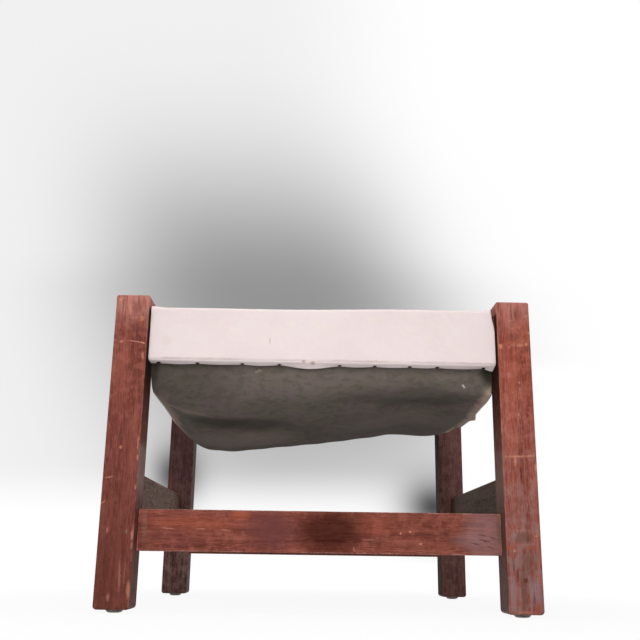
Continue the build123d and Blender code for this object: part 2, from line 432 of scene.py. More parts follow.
class Coat:
    """A finish that is being built up on one material."""

    def __init__(self, name: str, effects: Effects) -> None:
        """Start the material.

        Args:
            name: The material's name.
            effects: The shared effects.
        """
        self.material, self.w = bare_material(name)
        self.effects = effects
        self.surface = self.w.node("ShaderNodeBsdfPrincipled")
        self.w.node("ShaderNodeOutputMaterial", {"Surface": self.surface.outputs[0]})
        self.point = self.w.node("ShaderNodeTexCoord").outputs["Object"]

    def clouds(self, scale: Triple, offset: Triple) -> Mapping[str, Socket]:
        """Place soft staining, stretched and moved."""
        return self.w.place(self.effects.clouds, point=self.point, scale=scale, offset=offset)

    def hide(self) -> Mapping[str, Socket]:
        """Place the skin of the hide."""
        return self.w.place(self.effects.hide, point=self.point)

    def spotted(self, colour: Feed, spots: Sequence[Spot]) -> Feed:
        """Lay spots over a colour.

        Args:
            colour: The colour under the spots.
            spots: The spots, in the order in which they are laid.

        Returns:
            The spotted colour.
        """
        for spot in spots:
            mask = self.w.place(
                self.effects.mark,
                point=self.point,
                centre=metres(spot.x, spot.y, spot.z),
                reach=metres(spot.wide, spot.deep, spot.tall),
                turn=(0.0, 0.0, math.radians(-spot.turn)),
            )["Mask"]
            colour = self.w.blend(colour, spot.tone.value, mask, spot.strength)
        return colour

    def finish(
        self,
        colour: Feed,
        roughness: Feed,
        relief: Sequence[tuple[Feed, float]],
        more: Mapping[str, Feed] | None = None,
    ) -> bpy.types.Material:
        """Feed the surface shader.

        Args:
            colour: The base colour.
            roughness: The roughness.
            relief: Heights from 0 to 1, each with its real depth in millimetres.
            more: What goes into other inputs of the shader, by their names.

        Returns:
            The finished material.
        """
        height: Feed = 0.0
        for layer, depth in relief:
            height = self.w.math("ADD", height, self.w.times(layer, depth * MM))
        bump = self.w.node("ShaderNodeBump", {"Strength": 1.0, "Distance": 1.0, "Height": height})
        feeds = {"Base Color": colour, "Roughness": roughness, "Normal": bump.outputs[0], **(more or {})}
        for name, value in feeds.items():
            self.w.feed(self.surface.inputs[name], value)
        return self.material


class Grain(Enum):
    """Which way a timber's grain runs, as how much each axis counts across it."""

    UPRIGHT = (1.0, 1.0, 0.055)
    SIDEWAYS = (0.055, 1.0, 1.0)
    FRONT_TO_BACK = (1.0, 0.055, 1.0)


class Stain(Enum):
    """The colours that marks on the timber leave."""

    RAW = screen(214, 146, 116)
    SCRAPED = screen(190, 126, 114)
    ORANGE = screen(162, 84, 58)
    GREY = screen(140, 120, 112)
    VIOLET = screen(108, 61, 59)
    DARK = screen(62, 32, 27)
    BURNT = screen(54, 17, 6)
    ASH = screen(150, 122, 124)
    OLIVE = screen(98, 70, 54)


@dataclass(frozen=True)
class Mark:
    """A mark on a timber's front face, in millimetres, turned counter-clockwise from in front."""

    x: float
    z: float
    wide: float
    tall: float
    stain: Stain
    strength: float = 0.7
    turn: float = 0.0


@dataclass(frozen=True)
class TimberFinish:
    """Red-brown stain under thin old wax, worn through in places. Heights are in millimetres."""

    name: str
    grain: Grain
    body: Colour
    dark: Colour
    light: Colour
    offset: Triple
    wear: Colour = screen(186, 128, 112)
    wear_width: float = 1.6
    wear_strength: float = 0.55
    foot_tone: Colour = screen(140, 120, 112)
    foot_share: float = 0.0
    top_wear: float = 0.0
    inner_dirt_and_shade: float = 0.0
    dust_share: float = 0.0
    marks: tuple[Mark, ...] = ()

    MARK_DEPTH = 7.0
    MARK_RIPPLE = 3.4
    CRUMBLE = 3.0
    FOOT_LOW, FOOT_HIGH = 10.0, 330.0
    TOP_HEIGHT = 56.0
    INNER_FACE, FACE_BLUR = 230.0, 0.8
    CLEAN_TOP, SOILED_TOP = 12.0, 20.0
    DIRT_LOW, DIRT_HIGH = 120.0, 300.0
    GAP_LOW, GAP_HIGH, GAP_SHARE = 205.0, 318.0, 0.96
    DUST_LOW, DUST_FULL = 128.0, 165.0
    DUST_END, DUST_HIGH = 198.0, 214.0
    GRIME = screen(30, 14, 8)
    OLD_DIRT_AND_SHADE = screen(52, 44, 32)
    DUST = screen(190, 160, 150)

    def material(self, low: Vector, high: Vector, effects: Effects) -> bpy.types.Material:
        """Build the finish for one timber.

        Args:
            low: The lowest corner of the timber's shown body, in metres.
            high: Its highest corner.
            effects: The shared effects.

        Returns:
            The finished material.
        """
        coat = Coat(self.name, effects)
        w = coat.w
        grain = w.place(
            effects.long_grain, point=coat.point, stretch=self.grain.value, offset=self.offset
        )
        clouds = coat.clouds((1.0, 1.0, 1.0), self.offset)
        _, _, height = w.parts(coat.point)
        colour = w.blend(self.dark, self.body, grain["Figure"])
        colour = w.blend(colour, self.light, grain["Streaks"], 0.6)
        colour = w.blend(colour, self.dark, grain["Rings"], 0.22)
        colour = w.blend(colour, self.dark, clouds["Broad"], 0.3)
        colour = w.blend(colour, self.light, w.span(clouds["Fine"], 0.25, 1.0, 0.0, 0.4))
        if self.foot_share:
            near_foot = w.span_mm(height, self.FOOT_HIGH, self.FOOT_LOW, 0.0, self.foot_share)
            patchy = w.span(w.math("ADD", clouds["Fine"], grain["Streaks"]), 0.3, 1.7, 0.3, 1.35)
            colour = w.blend(colour, self.foot_tone, near_foot, patchy)
        if self.top_wear:
            near_top = w.span(height, high.z - self.TOP_HEIGHT * MM, high.z)
            colour = w.blend(colour, Stain.SCRAPED.value, near_top, self.top_wear)
        colour = w.blend(colour, self.dark, grain["Pores"], 0.75)
        worn = w.place(
            effects.arris_wear,
            point=coat.point,
            centre=tuple((low + high) / 2),
            half=tuple((high - low) / 2),
            width=self.wear_width * MM,
            ragged=self.CRUMBLE * MM,
        )["Mask"]
        colour = w.blend(colour, self.wear, worn, self.wear_strength)
        colour, cut = self.marked(coat, low, colour)
        dull = w.span(w.math("ADD", grain["Pores"], worn), 0.0, 1.0, 0.58, 0.78)
        if self.inner_dirt_and_shade:
            colour, dirt_and_shade_share = self.dirtied_and_shaded(coat, high, colour)
            dull = w.math("MAXIMUM", dull, dirt_and_shade_share)
        relief = [
            (grain["Pores"], -0.16),
            (grain["Streaks"], 0.1),
            (clouds["Fine"], 0.2),
            (worn, -0.12),
            (cut, -0.25),
        ]
        return coat.finish(colour, dull, relief, {"Specular IOR Level": 0.1})

    def dirtied_and_shaded(self, coat: Coat, high: Vector, colour: Feed) -> tuple[Feed, Feed]:
        """Lay old dirt and painted shade on the inner face, darkest beside the leather, and dust on it lower
        down.

        Args:
            coat: The material being built.
            high: The highest corner of the timber.
            colour: The colour under the dirt and shade.

        Returns:
            The dirty and shaded colour, and how dirty and shaded each place is.
        """
        w = coat.w
        across, _, height = w.parts(coat.point)
        # Painted shade: the inner face, turned from the light, is darkened with old dirt colours, near black
        # in the narrow gap beside the leather.
        inside = w.times(
            w.span_mm(w.math("ABSOLUTE", across), self.INNER_FACE + self.FACE_BLUR, self.INNER_FACE),
            w.span(height, high.z - self.CLEAN_TOP * MM, high.z - self.SOILED_TOP * MM),
        )
        dirt_and_shade = w.blend(self.OLD_DIRT_AND_SHADE, self.GRIME, w.span_mm(height, self.DIRT_LOW, self.DIRT_HIGH))
        beside = w.span_mm(height, self.GAP_LOW, self.GAP_HIGH, self.inner_dirt_and_shade, self.GAP_SHARE)
        dirt_and_shade_share = w.times(inside, beside)
        dusty = w.times(
            w.span_mm(height, self.DUST_HIGH, self.DUST_END),
            w.span_mm(height, self.DUST_LOW, self.DUST_FULL, 0.0, self.dust_share),
        )
        return w.blend(w.blend(colour, dirt_and_shade, dirt_and_shade_share), self.DUST, inside, dusty), dirt_and_shade_share

    def marked(self, coat: Coat, low: Vector, colour: Feed) -> tuple[Feed, Feed]:
        """Lay the listed marks over a colour.

        Args:
            coat: The material being built.
            low: The lowest corner of the timber, whose front face carries the marks.
            colour: The colour under the marks.

        Returns:
            The marked colour, and how far each place is cut.
        """
        w = coat.w
        ripple = w.noise(coat.point, size=3.2, detail=3, roughness=0.7, threefold=True)
        sideways = Vector(metres(self.MARK_RIPPLE, 0.0, self.MARK_RIPPLE))
        back = w.vector("SUBTRACT", coat.point, tuple(sideways / 2))
        rippled = w.vector("MULTIPLY_ADD", ripple, tuple(sideways), back)
        cut: Feed = 0.0
        for mark in self.marks:
            spot = w.place(
                coat.effects.mark,
                point=rippled,
                centre=(mark.x * MM, low.y, mark.z * MM),
                reach=metres(mark.wide / 2, self.MARK_DEPTH, mark.tall / 2),
                turn=(0.0, math.radians(mark.turn), 0.0),
            )["Mask"]
            colour = w.blend(colour, mark.stain.value, spot, mark.strength)
            if mark.stain in (Stain.RAW, Stain.SCRAPED):
                cut = w.math("MAXIMUM", cut, spot)
        return colour, cut


POST_FRONT_LEFT = TimberFinish(
    name="timber_post_front_left",
    grain=Grain.UPRIGHT,
    body=screen(142, 77, 66),
    dark=screen(94, 46, 39),
    light=screen(176, 104, 90),
    offset=(0.31, 0.07, 0.12),
    foot_tone=screen(62, 30, 22),
    foot_share=0.5,
    top_wear=1.0,
    inner_dirt_and_shade=0.35,
    dust_share=0.4,
    marks=(
        Mark(-246, 386, 16, 20, Stain.VIOLET, 0.45),
        Mark(-244, 358, 22, 22, Stain.VIOLET, 0.4),
        Mark(-255, 383, 5, 20, Stain.RAW, 0.5, 6),
        Mark(-239, 371, 7, 10, Stain.RAW, 0.6),
        Mark(-240, 366, 12, 16, Stain.ORANGE, 0.4),
        Mark(-250, 372, 16, 5, Stain.SCRAPED, 0.3),
        Mark(-268, 397, 6, 6, Stain.RAW, 0.6),
        Mark(-238, 392, 8, 16, Stain.ORANGE, 0.35),
        Mark(-263, 399, 5, 3, Stain.RAW, 0.4),
        Mark(-234.5, 321, 5, 13, Stain.RAW, 0.45, 8),
        Mark(-244, 339.4, 27, 2.0, Stain.SCRAPED, 0.9, -7),
        Mark(-235, 338, 6, 3, Stain.RAW, 0.7),
        Mark(-263.5, 339, 5, 4.5, Stain.RAW, 0.6),
        Mark(-272, 341, 3, 5, Stain.SCRAPED, 0.6),
        Mark(-272, 334, 5, 2, Stain.SCRAPED, 0.6),
        Mark(-254, 201, 4, 5, Stain.RAW, 0.55),
        Mark(-266, 163, 12, 2.2, Stain.SCRAPED, 0.8, 8),
        Mark(-271, 132, 8, 2.4, Stain.SCRAPED, 0.7, 40),
        Mark(-263, 98, 4, 9, Stain.SCRAPED, 0.45),
        Mark(-240, 97, 5, 5, Stain.GREY, 0.6),
        Mark(-232.5, 206, 2.4, 22, Stain.RAW, 0.6),
        Mark(-232, 188, 2.6, 9, Stain.RAW, 0.6),
        Mark(-232, 151, 3, 8, Stain.SCRAPED, 0.7),
        Mark(-232, 93, 4, 16, Stain.SCRAPED, 0.8),
        Mark(-232, 80, 3, 10, Stain.SCRAPED, 0.6),
        Mark(-232, 28, 6, 24, Stain.RAW, 0.5),
        Mark(-238, 50, 3, 44, Stain.SCRAPED, 0.35),
        Mark(-262, 54, 10, 60, Stain.DARK, 0.25),
        Mark(-240, 60, 8, 80, Stain.DARK, 0.25),
        Mark(-244, 45, 4, 50, Stain.SCRAPED, 0.4, 2),
        Mark(-256, 19, 5, 12, Stain.SCRAPED, 0.5),
    ),
)

POST_FRONT_RIGHT = TimberFinish(
    name="timber_post_front_right",
    grain=Grain.UPRIGHT,
    body=screen(166, 86, 69),
    dark=screen(112, 50, 40),
    light=screen(192, 114, 94),
    offset=(0.14, 0.22, 0.41),
    foot_tone=screen(138, 112, 110),
    foot_share=0.7,
    top_wear=0.75,
    inner_dirt_and_shade=0.6,
    dust_share=0.16,
    marks=(
        Mark(250, 388, 1.4, 36, Stain.DARK, 0.7, 1),
        Mark(249.5, 356, 1.2, 34, Stain.DARK, 0.4, 2),
        Mark(258, 388, 14, 26, Stain.VIOLET, 0.4),
        Mark(240, 366, 16, 20, Stain.VIOLET, 0.25),
        Mark(248, 377.5, 8, 1.8, Stain.SCRAPED, 0.8),
        Mark(270, 384.5, 11, 3.4, Stain.SCRAPED, 0.6, 10),
        Mark(250, 367, 4, 5, Stain.SCRAPED, 0.6, 30),
        Mark(259, 368, 3, 4, Stain.SCRAPED, 0.5),
        Mark(272, 361, 4, 4, Stain.RAW, 0.6),
        Mark(267, 366, 12, 44, Stain.ORANGE, 0.4),
        Mark(234, 342, 6, 9, Stain.RAW, 0.75),
        Mark(250, 343.5, 9, 4, Stain.SCRAPED, 0.5),
        Mark(260, 344, 12, 6, Stain.RAW, 0.4, 2),
        Mark(268, 345, 5, 5, Stain.RAW, 0.7),
        Mark(245, 341, 4, 5, Stain.SCRAPED, 0.6),
        Mark(262, 351, 14, 9, Stain.RAW, 0.2),
        Mark(252, 356, 22, 14, Stain.VIOLET, 0.45),
        Mark(233.5, 330, 3, 18, Stain.SCRAPED, 0.4),
        Mark(243, 304, 7, 9, Stain.SCRAPED, 0.4),
        Mark(257, 283, 5, 10, Stain.SCRAPED, 0.35),
        Mark(256, 293, 4.5, 5, Stain.SCRAPED, 0.65),
        Mark(254, 251, 3.5, 4, Stain.SCRAPED, 0.7),
        Mark(258, 230, 1.8, 26, Stain.DARK, 0.5),
        Mark(248, 197, 34, 3.6, Stain.RAW, 0.5, 1),
        Mark(266, 198, 14, 3, Stain.RAW, 0.5, 4),
        Mark(246, 191, 3, 17, Stain.RAW, 0.7),
        Mark(272, 183, 5, 14, Stain.RAW, 0.55),
        Mark(253, 175, 3, 20, Stain.DARK, 0.6),
        Mark(252, 105, 44, 1.6, Stain.SCRAPED, 0.4, 1),
        Mark(251, 96, 32, 15, Stain.OLIVE, 0.6),
        Mark(240, 98, 9, 10, Stain.ASH, 0.5),
        Mark(268, 98, 3, 3, Stain.RAW, 0.7),
        Mark(250, 87, 44, 1.4, Stain.SCRAPED, 0.3, 1),
        Mark(236, 83, 11, 7, Stain.ORANGE, 0.6),
        Mark(240, 80, 5, 4, Stain.RAW, 0.5),
        Mark(258, 84, 12, 5, Stain.ORANGE, 0.5),
        Mark(237, 30, 12, 46, Stain.ASH, 0.55),
        Mark(264, 32, 15, 40, Stain.ASH, 0.6),
        Mark(250, 36, 9, 70, Stain.OLIVE, 0.6),
        Mark(258, 64, 26, 34, Stain.OLIVE, 0.4),
        Mark(252, 45, 7, 7, Stain.DARK, 0.6),
        Mark(238, 62, 3, 26, Stain.DARK, 0.4),
        Mark(268, 14, 8, 12, Stain.ORANGE, 0.5),
        Mark(243, 52, 3, 20, Stain.DARK, 0.6),
        Mark(262, 24, 4, 16, Stain.DARK, 0.5),
        Mark(250, 7, 36, 5, Stain.RAW, 0.3),
    ),
)

# The rear posts get darker, greyer copies of the front posts' timber colours: painted shade for the sling's
# shadow and their distance from the light.
POST_REAR_LEFT_SHADED = TimberFinish(
    name="timber_post_rear_left_shaded",
    grain=Grain.UPRIGHT,
    body=screen(81, 52, 52),
    dark=screen(55, 34, 34),
    light=screen(104, 71, 69),
    offset=(0.52, 0.36, 0.07),
    foot_tone=screen(146, 112, 104),
    foot_share=0.7,
    top_wear=0.4,
    marks=(Mark(-266, 146, 4, 8, Stain.SCRAPED, 0.6), Mark(-268, 190, 5, 70, Stain.ORANGE, 0.35)),
)

POST_REAR_RIGHT_SHADED = TimberFinish(
    name="timber_post_rear_right_shaded",
    grain=Grain.UPRIGHT,
    body=screen(118, 81, 77),
    dark=screen(84, 54, 51),
    light=screen(142, 101, 94),
    offset=(0.66, 0.11, 0.29),
    foot_tone=screen(146, 106, 98),
    foot_share=0.4,
    top_wear=0.4,
    inner_dirt_and_shade=0.8,
    marks=(Mark(262, 34, 5, 7, Stain.ORANGE, 0.7),),
)

FRONT_STRETCHER = TimberFinish(
    name="timber_front_stretcher",
    grain=Grain.SIDEWAYS,
    body=screen(146, 81, 67),
    dark=screen(96, 46, 38),
    light=screen(174, 102, 86),
    offset=(0.05, 0.44, 0.21),
    wear=screen(200, 146, 134),
    wear_width=1.4,
    wear_strength=0.75,
    marks=(
        Mark(13, 100, 104, 70, Stain.BURNT, 0.8),
        Mark(-62, 102, 80, 60, Stain.VIOLET, 0.85),
        Mark(-160, 108, 130, 26, Stain.ORANGE, 0.35),
        Mark(-102, 119, 34, 14, Stain.ORANGE, 0.6),
        Mark(-192, 102, 22, 2.0, Stain.SCRAPED, 0.8, -4),
        Mark(-151, 102, 16, 2.0, Stain.SCRAPED, 0.8, 2),
        Mark(-120, 101, 14, 1.8, Stain.SCRAPED, 0.6, -4),
        Mark(-204, 83, 14, 4, Stain.ORANGE, 0.6),
        Mark(-222, 106, 8, 60, Stain.GREY, 0.22),
        Mark(-180, 92, 110, 30, Stain.VIOLET, 0.25),
        Mark(71, 108, 60, 30, Stain.ORANGE, 0.25),
        Mark(102, 100, 4, 3.5, Stain.RAW, 0.8),
        Mark(114, 102, 4, 4, Stain.RAW, 0.8),
        Mark(127, 87, 5, 3.5, Stain.RAW, 0.75),
        Mark(62, 91.5, 22, 1.6, Stain.SCRAPED, 0.5),
        Mark(43, 79, 2.4, 8, Stain.SCRAPED, 0.6, 10),
        Mark(212, 100, 70, 90, Stain.ASH, 0.42),
        Mark(186, 92, 50, 24, Stain.ASH, 0.25),
        Mark(110, 100, 120, 70, Stain.DARK, 0.1),
        Mark(228, 108, 10, 50, Stain.OLIVE, 0.4),
        Mark(197, 88, 16, 2.2, Stain.DARK, 0.6, -14),
        Mark(209, 92, 18, 2.2, Stain.DARK, 0.6, -14),
        Mark(206, 99, 14, 2.0, Stain.DARK, 0.55, -14),
        Mark(219, 96, 12, 2.2, Stain.DARK, 0.55, -14),
        Mark(216, 84, 12, 2.0, Stain.DARK, 0.5, -10),
    ),
)

REAR_STRETCHER = TimberFinish(
    name="timber_rear_stretcher",
    grain=Grain.SIDEWAYS,
    body=screen(124, 68, 56),
    dark=screen(86, 44, 36),
    light=screen(150, 88, 72),
    offset=(0.83, 0.19, 0.37),
)

SIDE_BOARD_LEFT = TimberFinish(
    name="timber_side_board_left",
    grain=Grain.FRONT_TO_BACK,
    body=screen(148, 110, 94),
    dark=screen(100, 71, 59),
    light=screen(178, 142, 124),
    offset=(0.27, 0.58, 0.46),
    wear_strength=0.35,
)

SIDE_BOARD_RIGHT = TimberFinish(
    name="timber_side_board_right",
    grain=Grain.FRONT_TO_BACK,
    body=screen(74, 46, 28),
    dark=screen(52, 30, 18),
    light=screen(96, 64, 42),
    offset=(0.39, 0.93, 0.16),
    wear_strength=0.35,
)

SEAT_RAIL = TimberFinish(
    name="timber_seat_rail",
    grain=Grain.SIDEWAYS,
    body=screen(56, 36, 28),
    dark=screen(38, 24, 19),
    light=screen(74, 50, 40),
    offset=(0.71, 0.64, 0.83),
    wear_strength=0.2,
)

GRAIN_SPOTS = (
    Spot(-70, -252, 346, 1.1, 9, 6, HideTone.RUST, 0.35),
    Spot(-25, -252, 319, 3.4, 9, 2.2, HideTone.RUST, 0.5),
    Spot(-13, -252, 317.5, 4.2, 14, 2.4, HideTone.RUST, 0.55),
    Spot(-206, -252, 344, 10, 9, 8, HideTone.RUST, 0.06),
)

# Suede spots: painted shade in the folds, at the top left and in the corners beside the posts; painted light
# on the low parts of the sag; a painted highlight along the left fold ridge; and a few pale flecks.
SUEDE_SPOTS = (
    Spot(-190, -218, 300, 90, 60, 46, HideTone.PAINTED_SHADE, 0.4),
    Spot(-120, -40, 250, 110, 52, 60, HideTone.PAINTED_LIGHT, 0.5, 8),
    Spot(-146, -134, 254, 54, 34, 60, HideTone.PAINTED_SHADE, 0.8, 16),
    Spot(-90, -116, 254, 52, 38, 60, HideTone.PAINTED_SHADE, 0.66, 22),
    Spot(-36, -92, 254, 44, 30, 60, HideTone.PAINTED_SHADE, 0.15, 16),
    Spot(61, -182, 284, 48, 22, 60, HideTone.PAINTED_SHADE, 0.25, 24),
    Spot(112, -154, 285, 44, 26, 60, HideTone.PAINTED_SHADE, 0.4, 30),
    Spot(158, -152, 286, 40, 28, 60, HideTone.PAINTED_SHADE, 0.5, -16),
    Spot(188, -182, 283, 30, 26, 60, HideTone.PAINTED_SHADE, 0.45, -40),
    Spot(120, -60, 270, 120, 60, 60, HideTone.PAINTED_LIGHT, 0.3),
    Spot(228, -224, 313, 18, 14, 22, HideTone.PAINTED_SHADE, 0.95),
    Spot(-228, -224, 312, 12, 14, 30, HideTone.PAINTED_SHADE, 0.8),
    Spot(-190, -182, 266, 46, 8, 60, HideTone.PALE_EDGE_AND_HIGHLIGHT, 0.22, 24),
    Spot(190.3, -218, 296.8, 1.8, 8, 2.0, HideTone.FLECK, 0.9),
    Spot(192.2, -218, 294.8, 1.6, 8, 1.8, HideTone.FLECK, 0.8),
    Spot(-88, -224, 310, 3.5, 8, 2.2, HideTone.FLECK, 0.14),
    Spot(-84, -224, 312, 3.5, 8, 2.2, HideTone.FLECK, 0.17),
)


@dataclass(frozen=True)
class LeatherFinish:
    """The pale grain side of the hide. Places are in millimetres."""

    name: str = "leather_grain"
    body: Colour = screen(235, 221, 220)
    pink: Colour = screen(232, 212, 213)
    yellow: Colour = screen(238, 226, 208)
    soil_and_fold_shade: Colour = screen(176, 148, 142)
    hem_painted_light: Colour = screen(254, 240, 239)
    fold_shade_height: float = 320.0

    FACE_START, FACE_FULL = -249.5, -251.5
    LINE_WAVER, LINE_SOFT, LINE_CORE = 4.0, 2.6, 0.4
    HEM_TOP, HEM_FULL = 319.2, 318.6
    HEM_INNER, HEM_OUTER = -216.0, -220.0

    def material(self, effects: Effects) -> bpy.types.Material:
        """Build the finish.

        Args:
            effects: The shared effects.

        Returns:
            The finished material.
        """
        coat = Coat(self.name, effects)
        w = coat.w
        hide = coat.hide()
        clouds = coat.clouds((0.7, 0.7, 0.9), (0.2, 0.1, 0.6))
        _, y, z = w.parts(coat.point)
        front = w.span_mm(y, self.FACE_START, self.FACE_FULL)
        under_hem = w.span_mm(z, self.HEM_TOP, self.HEM_FULL)
        colour = w.blend(self.body, self.pink, clouds["Broad"], 0.5)
        colour = w.blend(colour, self.yellow, w.span(clouds["Fine"], 0.62, 1.0, 0.0, 0.22))
        colour = w.blend(colour, self.soil_and_fold_shade, hide["Creases"], 0.03)
        # Painted shade: a faint darker line along the fold where the front face turns under the rail.
        colour = w.blend(colour, self.soil_and_fold_shade, self.fold_shade_line(coat, z), front)
        # Painted light: the hem's underside is made lighter than the face, standing in for light from below.
        colour = w.blend(colour, self.hem_painted_light, under_hem, w.span_mm(y, self.HEM_INNER, self.HEM_OUTER))
        colour = coat.spotted(colour, GRAIN_SPOTS)
        roughness = w.span(clouds["Fine"], 0.0, 1.0, 0.5, 0.62)
        relief = [(hide["Pebble"], 0.03), (hide["Creases"], -0.02), (clouds["Fine"], 0.2)]
        return coat.finish(colour, roughness, relief, {"Specular IOR Level": 0.35})

    def fold_shade_line(self, coat: Coat, z: Feed) -> Feed:
        """Find the faint line of painted shade along the front fold, above the hem.

        Args:
            coat: The material being built.
            z: The height of each place.

        Returns:
            How shaded each place is.
        """
        w = coat.w
        waver = w.swing(w.noise(coat.point, size=19, detail=4, roughness=0.65), self.LINE_WAVER * MM)
        off_line = w.apart(w.math("ADD", z, waver), self.fold_shade_height * MM)
        patchy = w.span(w.noise(coat.point, size=33, detail=3), 0.35, 0.65, 0.08, 0.4)
        return w.times(w.span_mm(off_line, self.LINE_SOFT, self.LINE_CORE), patchy)


@dataclass(frozen=True)
class SuedeFinish:
    """The cloudy grey-olive flesh side of the hide. Places and breadths are in millimetres."""

    half_width: float
    wall: float
    left_bow: float
    right_bow: float
    name: str = "leather_suede"
    body: Colour = screen(122, 112, 104)
    dark: Colour = screen(84, 78, 68)
    violet: Colour = screen(124, 108, 110)
    green: Colour = screen(108, 106, 92)
    lip: Colour = screen(244, 226, 218)

    SIDE_BLUR = 1.0
    STRIP_LEFT, STRIP_RIGHT, STRIP_RAGGED = 24.0, 16.0, 12.0
    STRIP_TOP, STRIP_FULL, STRIP_RAISED_LEFT = 300.0, 282.0, 14.0
    PALER_FROM, PALER_TO = -50.0, 50.0
    LIP_SOFT, LIP_CORE, LIP_SHARE = 3.6, 2.0, 0.85
    LIP_TOP, LIP_FULL = 286.0, 276.0
    LIP_REAR, LIP_FRONT = -20.0, -50.0
    LIP_MIDDLE, LIP_LEFT = 0.0, -10.0

    def material(self, effects: Effects) -> bpy.types.Material:
        """Build the finish.

        Args:
            effects: The shared effects.

        Returns:
            The finished material.
        """
        coat = Coat(self.name, effects)
        w = coat.w
        hide = coat.hide()
        clouds = coat.clouds((0.8, 1.0, 1.4), (0.7, 0.4, 0.1))
        other = coat.clouds((1.3, 1.1, 1.9), (0.3, 0.9, 0.8))
        place = w.parts(coat.point)
        colour = w.blend(self.body, self.green, clouds["Broad"], 0.8)
        colour = w.blend(colour, self.violet, other["Broad"], 0.6)
        colour = w.blend(colour, self.dark, w.span(clouds["Fine"], 0.3, 1.0, 0.0, 0.45))
        colour = w.blend(colour, self.dark, w.math("SUBTRACT", 1.0, hide["Nap"]), 0.5)
        colour = coat.spotted(colour, SUEDE_SPOTS)
        paler = w.span_mm(place[0], self.PALER_FROM, self.PALER_TO, 0.55, 0.85)
        colour = w.blend(colour, HideTone.PALE_EDGE_AND_HIGHLIGHT.value, self.near_edge(coat, place), paler)
        colour = w.blend(colour, self.lip, self.pale_lip(w, place))
        roughness = w.span(hide["Nap"], 0.0, 1.0, 0.82, 0.96)
        relief = [(hide["Nap"], 0.22), (clouds["Fine"], 0.5), (hide["Creases"], -0.1)]
        more = {"Specular IOR Level": 0.05, "Sheen Weight": 0.06, "Sheen Roughness": 0.45}
        return coat.finish(colour, roughness, relief, more)

    def by_side(self, w: Wiring, x: Feed, left: float, right: float) -> Socket:
        """Choose between a length for the left and one for the right, in millimetres."""
        return w.span_mm(x, -self.SIDE_BLUR, self.SIDE_BLUR, left * MM, right * MM)

    def from_edge(self, w: Wiring, place: tuple[Socket, ...]) -> Socket:
        """Measure how far a place on the hanging sheet is from its nearer free edge.

        Args:
            w: The wiring of the material's nodes.
            place: X, Y and Z of the place.

        Returns:
            The distance, in metres.
        """
        x, y, _ = place
        along = w.math("DIVIDE", w.math("ABSOLUTE", y), self.wall * MM)
        deep = w.math("SUBTRACT", 1.0, w.math("POWER", along, 2.0))
        bow = w.times(self.by_side(w, x, self.left_bow, self.right_bow), deep)
        edge = w.math("SUBTRACT", self.half_width * MM, bow)
        return w.math("SUBTRACT", edge, w.math("ABSOLUTE", x))

    def pale_lip(self, w: Wiring, place: tuple[Socket, ...]) -> Feed:
        """Find the thin bare line along the left edge's lower front.

        Args:
            w: The wiring of the material's nodes.
            place: X, Y and Z of the place.

        Returns:
            How bare each place is.
        """
        x, y, z = place
        return w.times(
            w.span_mm(self.from_edge(w, place), self.LIP_SOFT, self.LIP_CORE, 0.0, self.LIP_SHARE),
            w.span_mm(x, self.LIP_MIDDLE, self.LIP_LEFT),
            w.span_mm(y, self.LIP_REAR, self.LIP_FRONT),
            w.span_mm(z, self.LIP_TOP, self.LIP_FULL),
        )

    def near_edge(self, coat: Coat, place: tuple[Socket, ...]) -> Feed:
        """Find the paler strip along the free edges of the hanging sheet.

        Args:
            coat: The material being built.
            place: X, Y and Z of the place.

        Returns:
            How pale each place is.
        """
        w = coat.w
        x, _, z = place
        ragged = w.swing(w.noise(coat.point, size=16, detail=4, roughness=0.6), self.STRIP_RAGGED * MM)
        inwards = w.math("ADD", self.from_edge(w, place), ragged)
        wide = self.by_side(w, x, self.STRIP_LEFT, self.STRIP_RIGHT)
        height = w.math("ADD", z, self.by_side(w, x, self.STRIP_RAISED_LEFT, 0.0))
        strip = w.span(w.math("DIVIDE", inwards, wide), 1.0, 0.2)
        return w.times(strip, w.span_mm(height, self.STRIP_TOP, self.STRIP_FULL))


@dataclass(frozen=True)
class CutEdgeFinish:
    """The pale fibrous edge where the hide was cut, with painted shade on the front hem's end under the rail.
    """

    name: str = "leather_cut_edge"
    body: Colour = screen(246, 240, 232)
    dark: Colour = screen(204, 184, 164)
    under_rail_shade: Colour = screen(44, 38, 34)

    GRIME_FRONT, FRONT_FULL = -236.0, -232.0
    GRIME_REAR, REAR_FULL = -190.0, -205.0
    GRIME_TOP, TOP_FULL = 326.0, 320.0

    def material(self, effects: Effects) -> bpy.types.Material:
        """Build the finish.

        Args:
            effects: The shared effects.

        Returns:
            The finished material.
        """
        coat = Coat(self.name, effects)
        w = coat.w
        hide = coat.hide()
        clouds = coat.clouds((2.0, 2.0, 2.0), (0.1, 0.3, 0.2))
        _, y, z = w.parts(coat.point)
        under_rail = w.times(
            w.span_mm(y, self.GRIME_FRONT, self.FRONT_FULL),
            w.span_mm(y, self.GRIME_REAR, self.REAR_FULL),
            w.span_mm(z, self.GRIME_TOP, self.TOP_FULL),
        )
        colour = w.blend(self.body, self.dark, clouds["Fine"], 0.4)
        colour = w.blend(colour, self.dark, hide["Nap"], 0.3)
        # Painted shade: the front hem's cut end, hidden under the rail, is darkened nearly to black.
        colour = w.blend(colour, self.under_rail_shade, under_rail, 0.95)
        return coat.finish(colour, w.span(hide["Nap"], 0.0, 1.0, 0.7, 0.9), [(hide["Nap"], 0.15)])


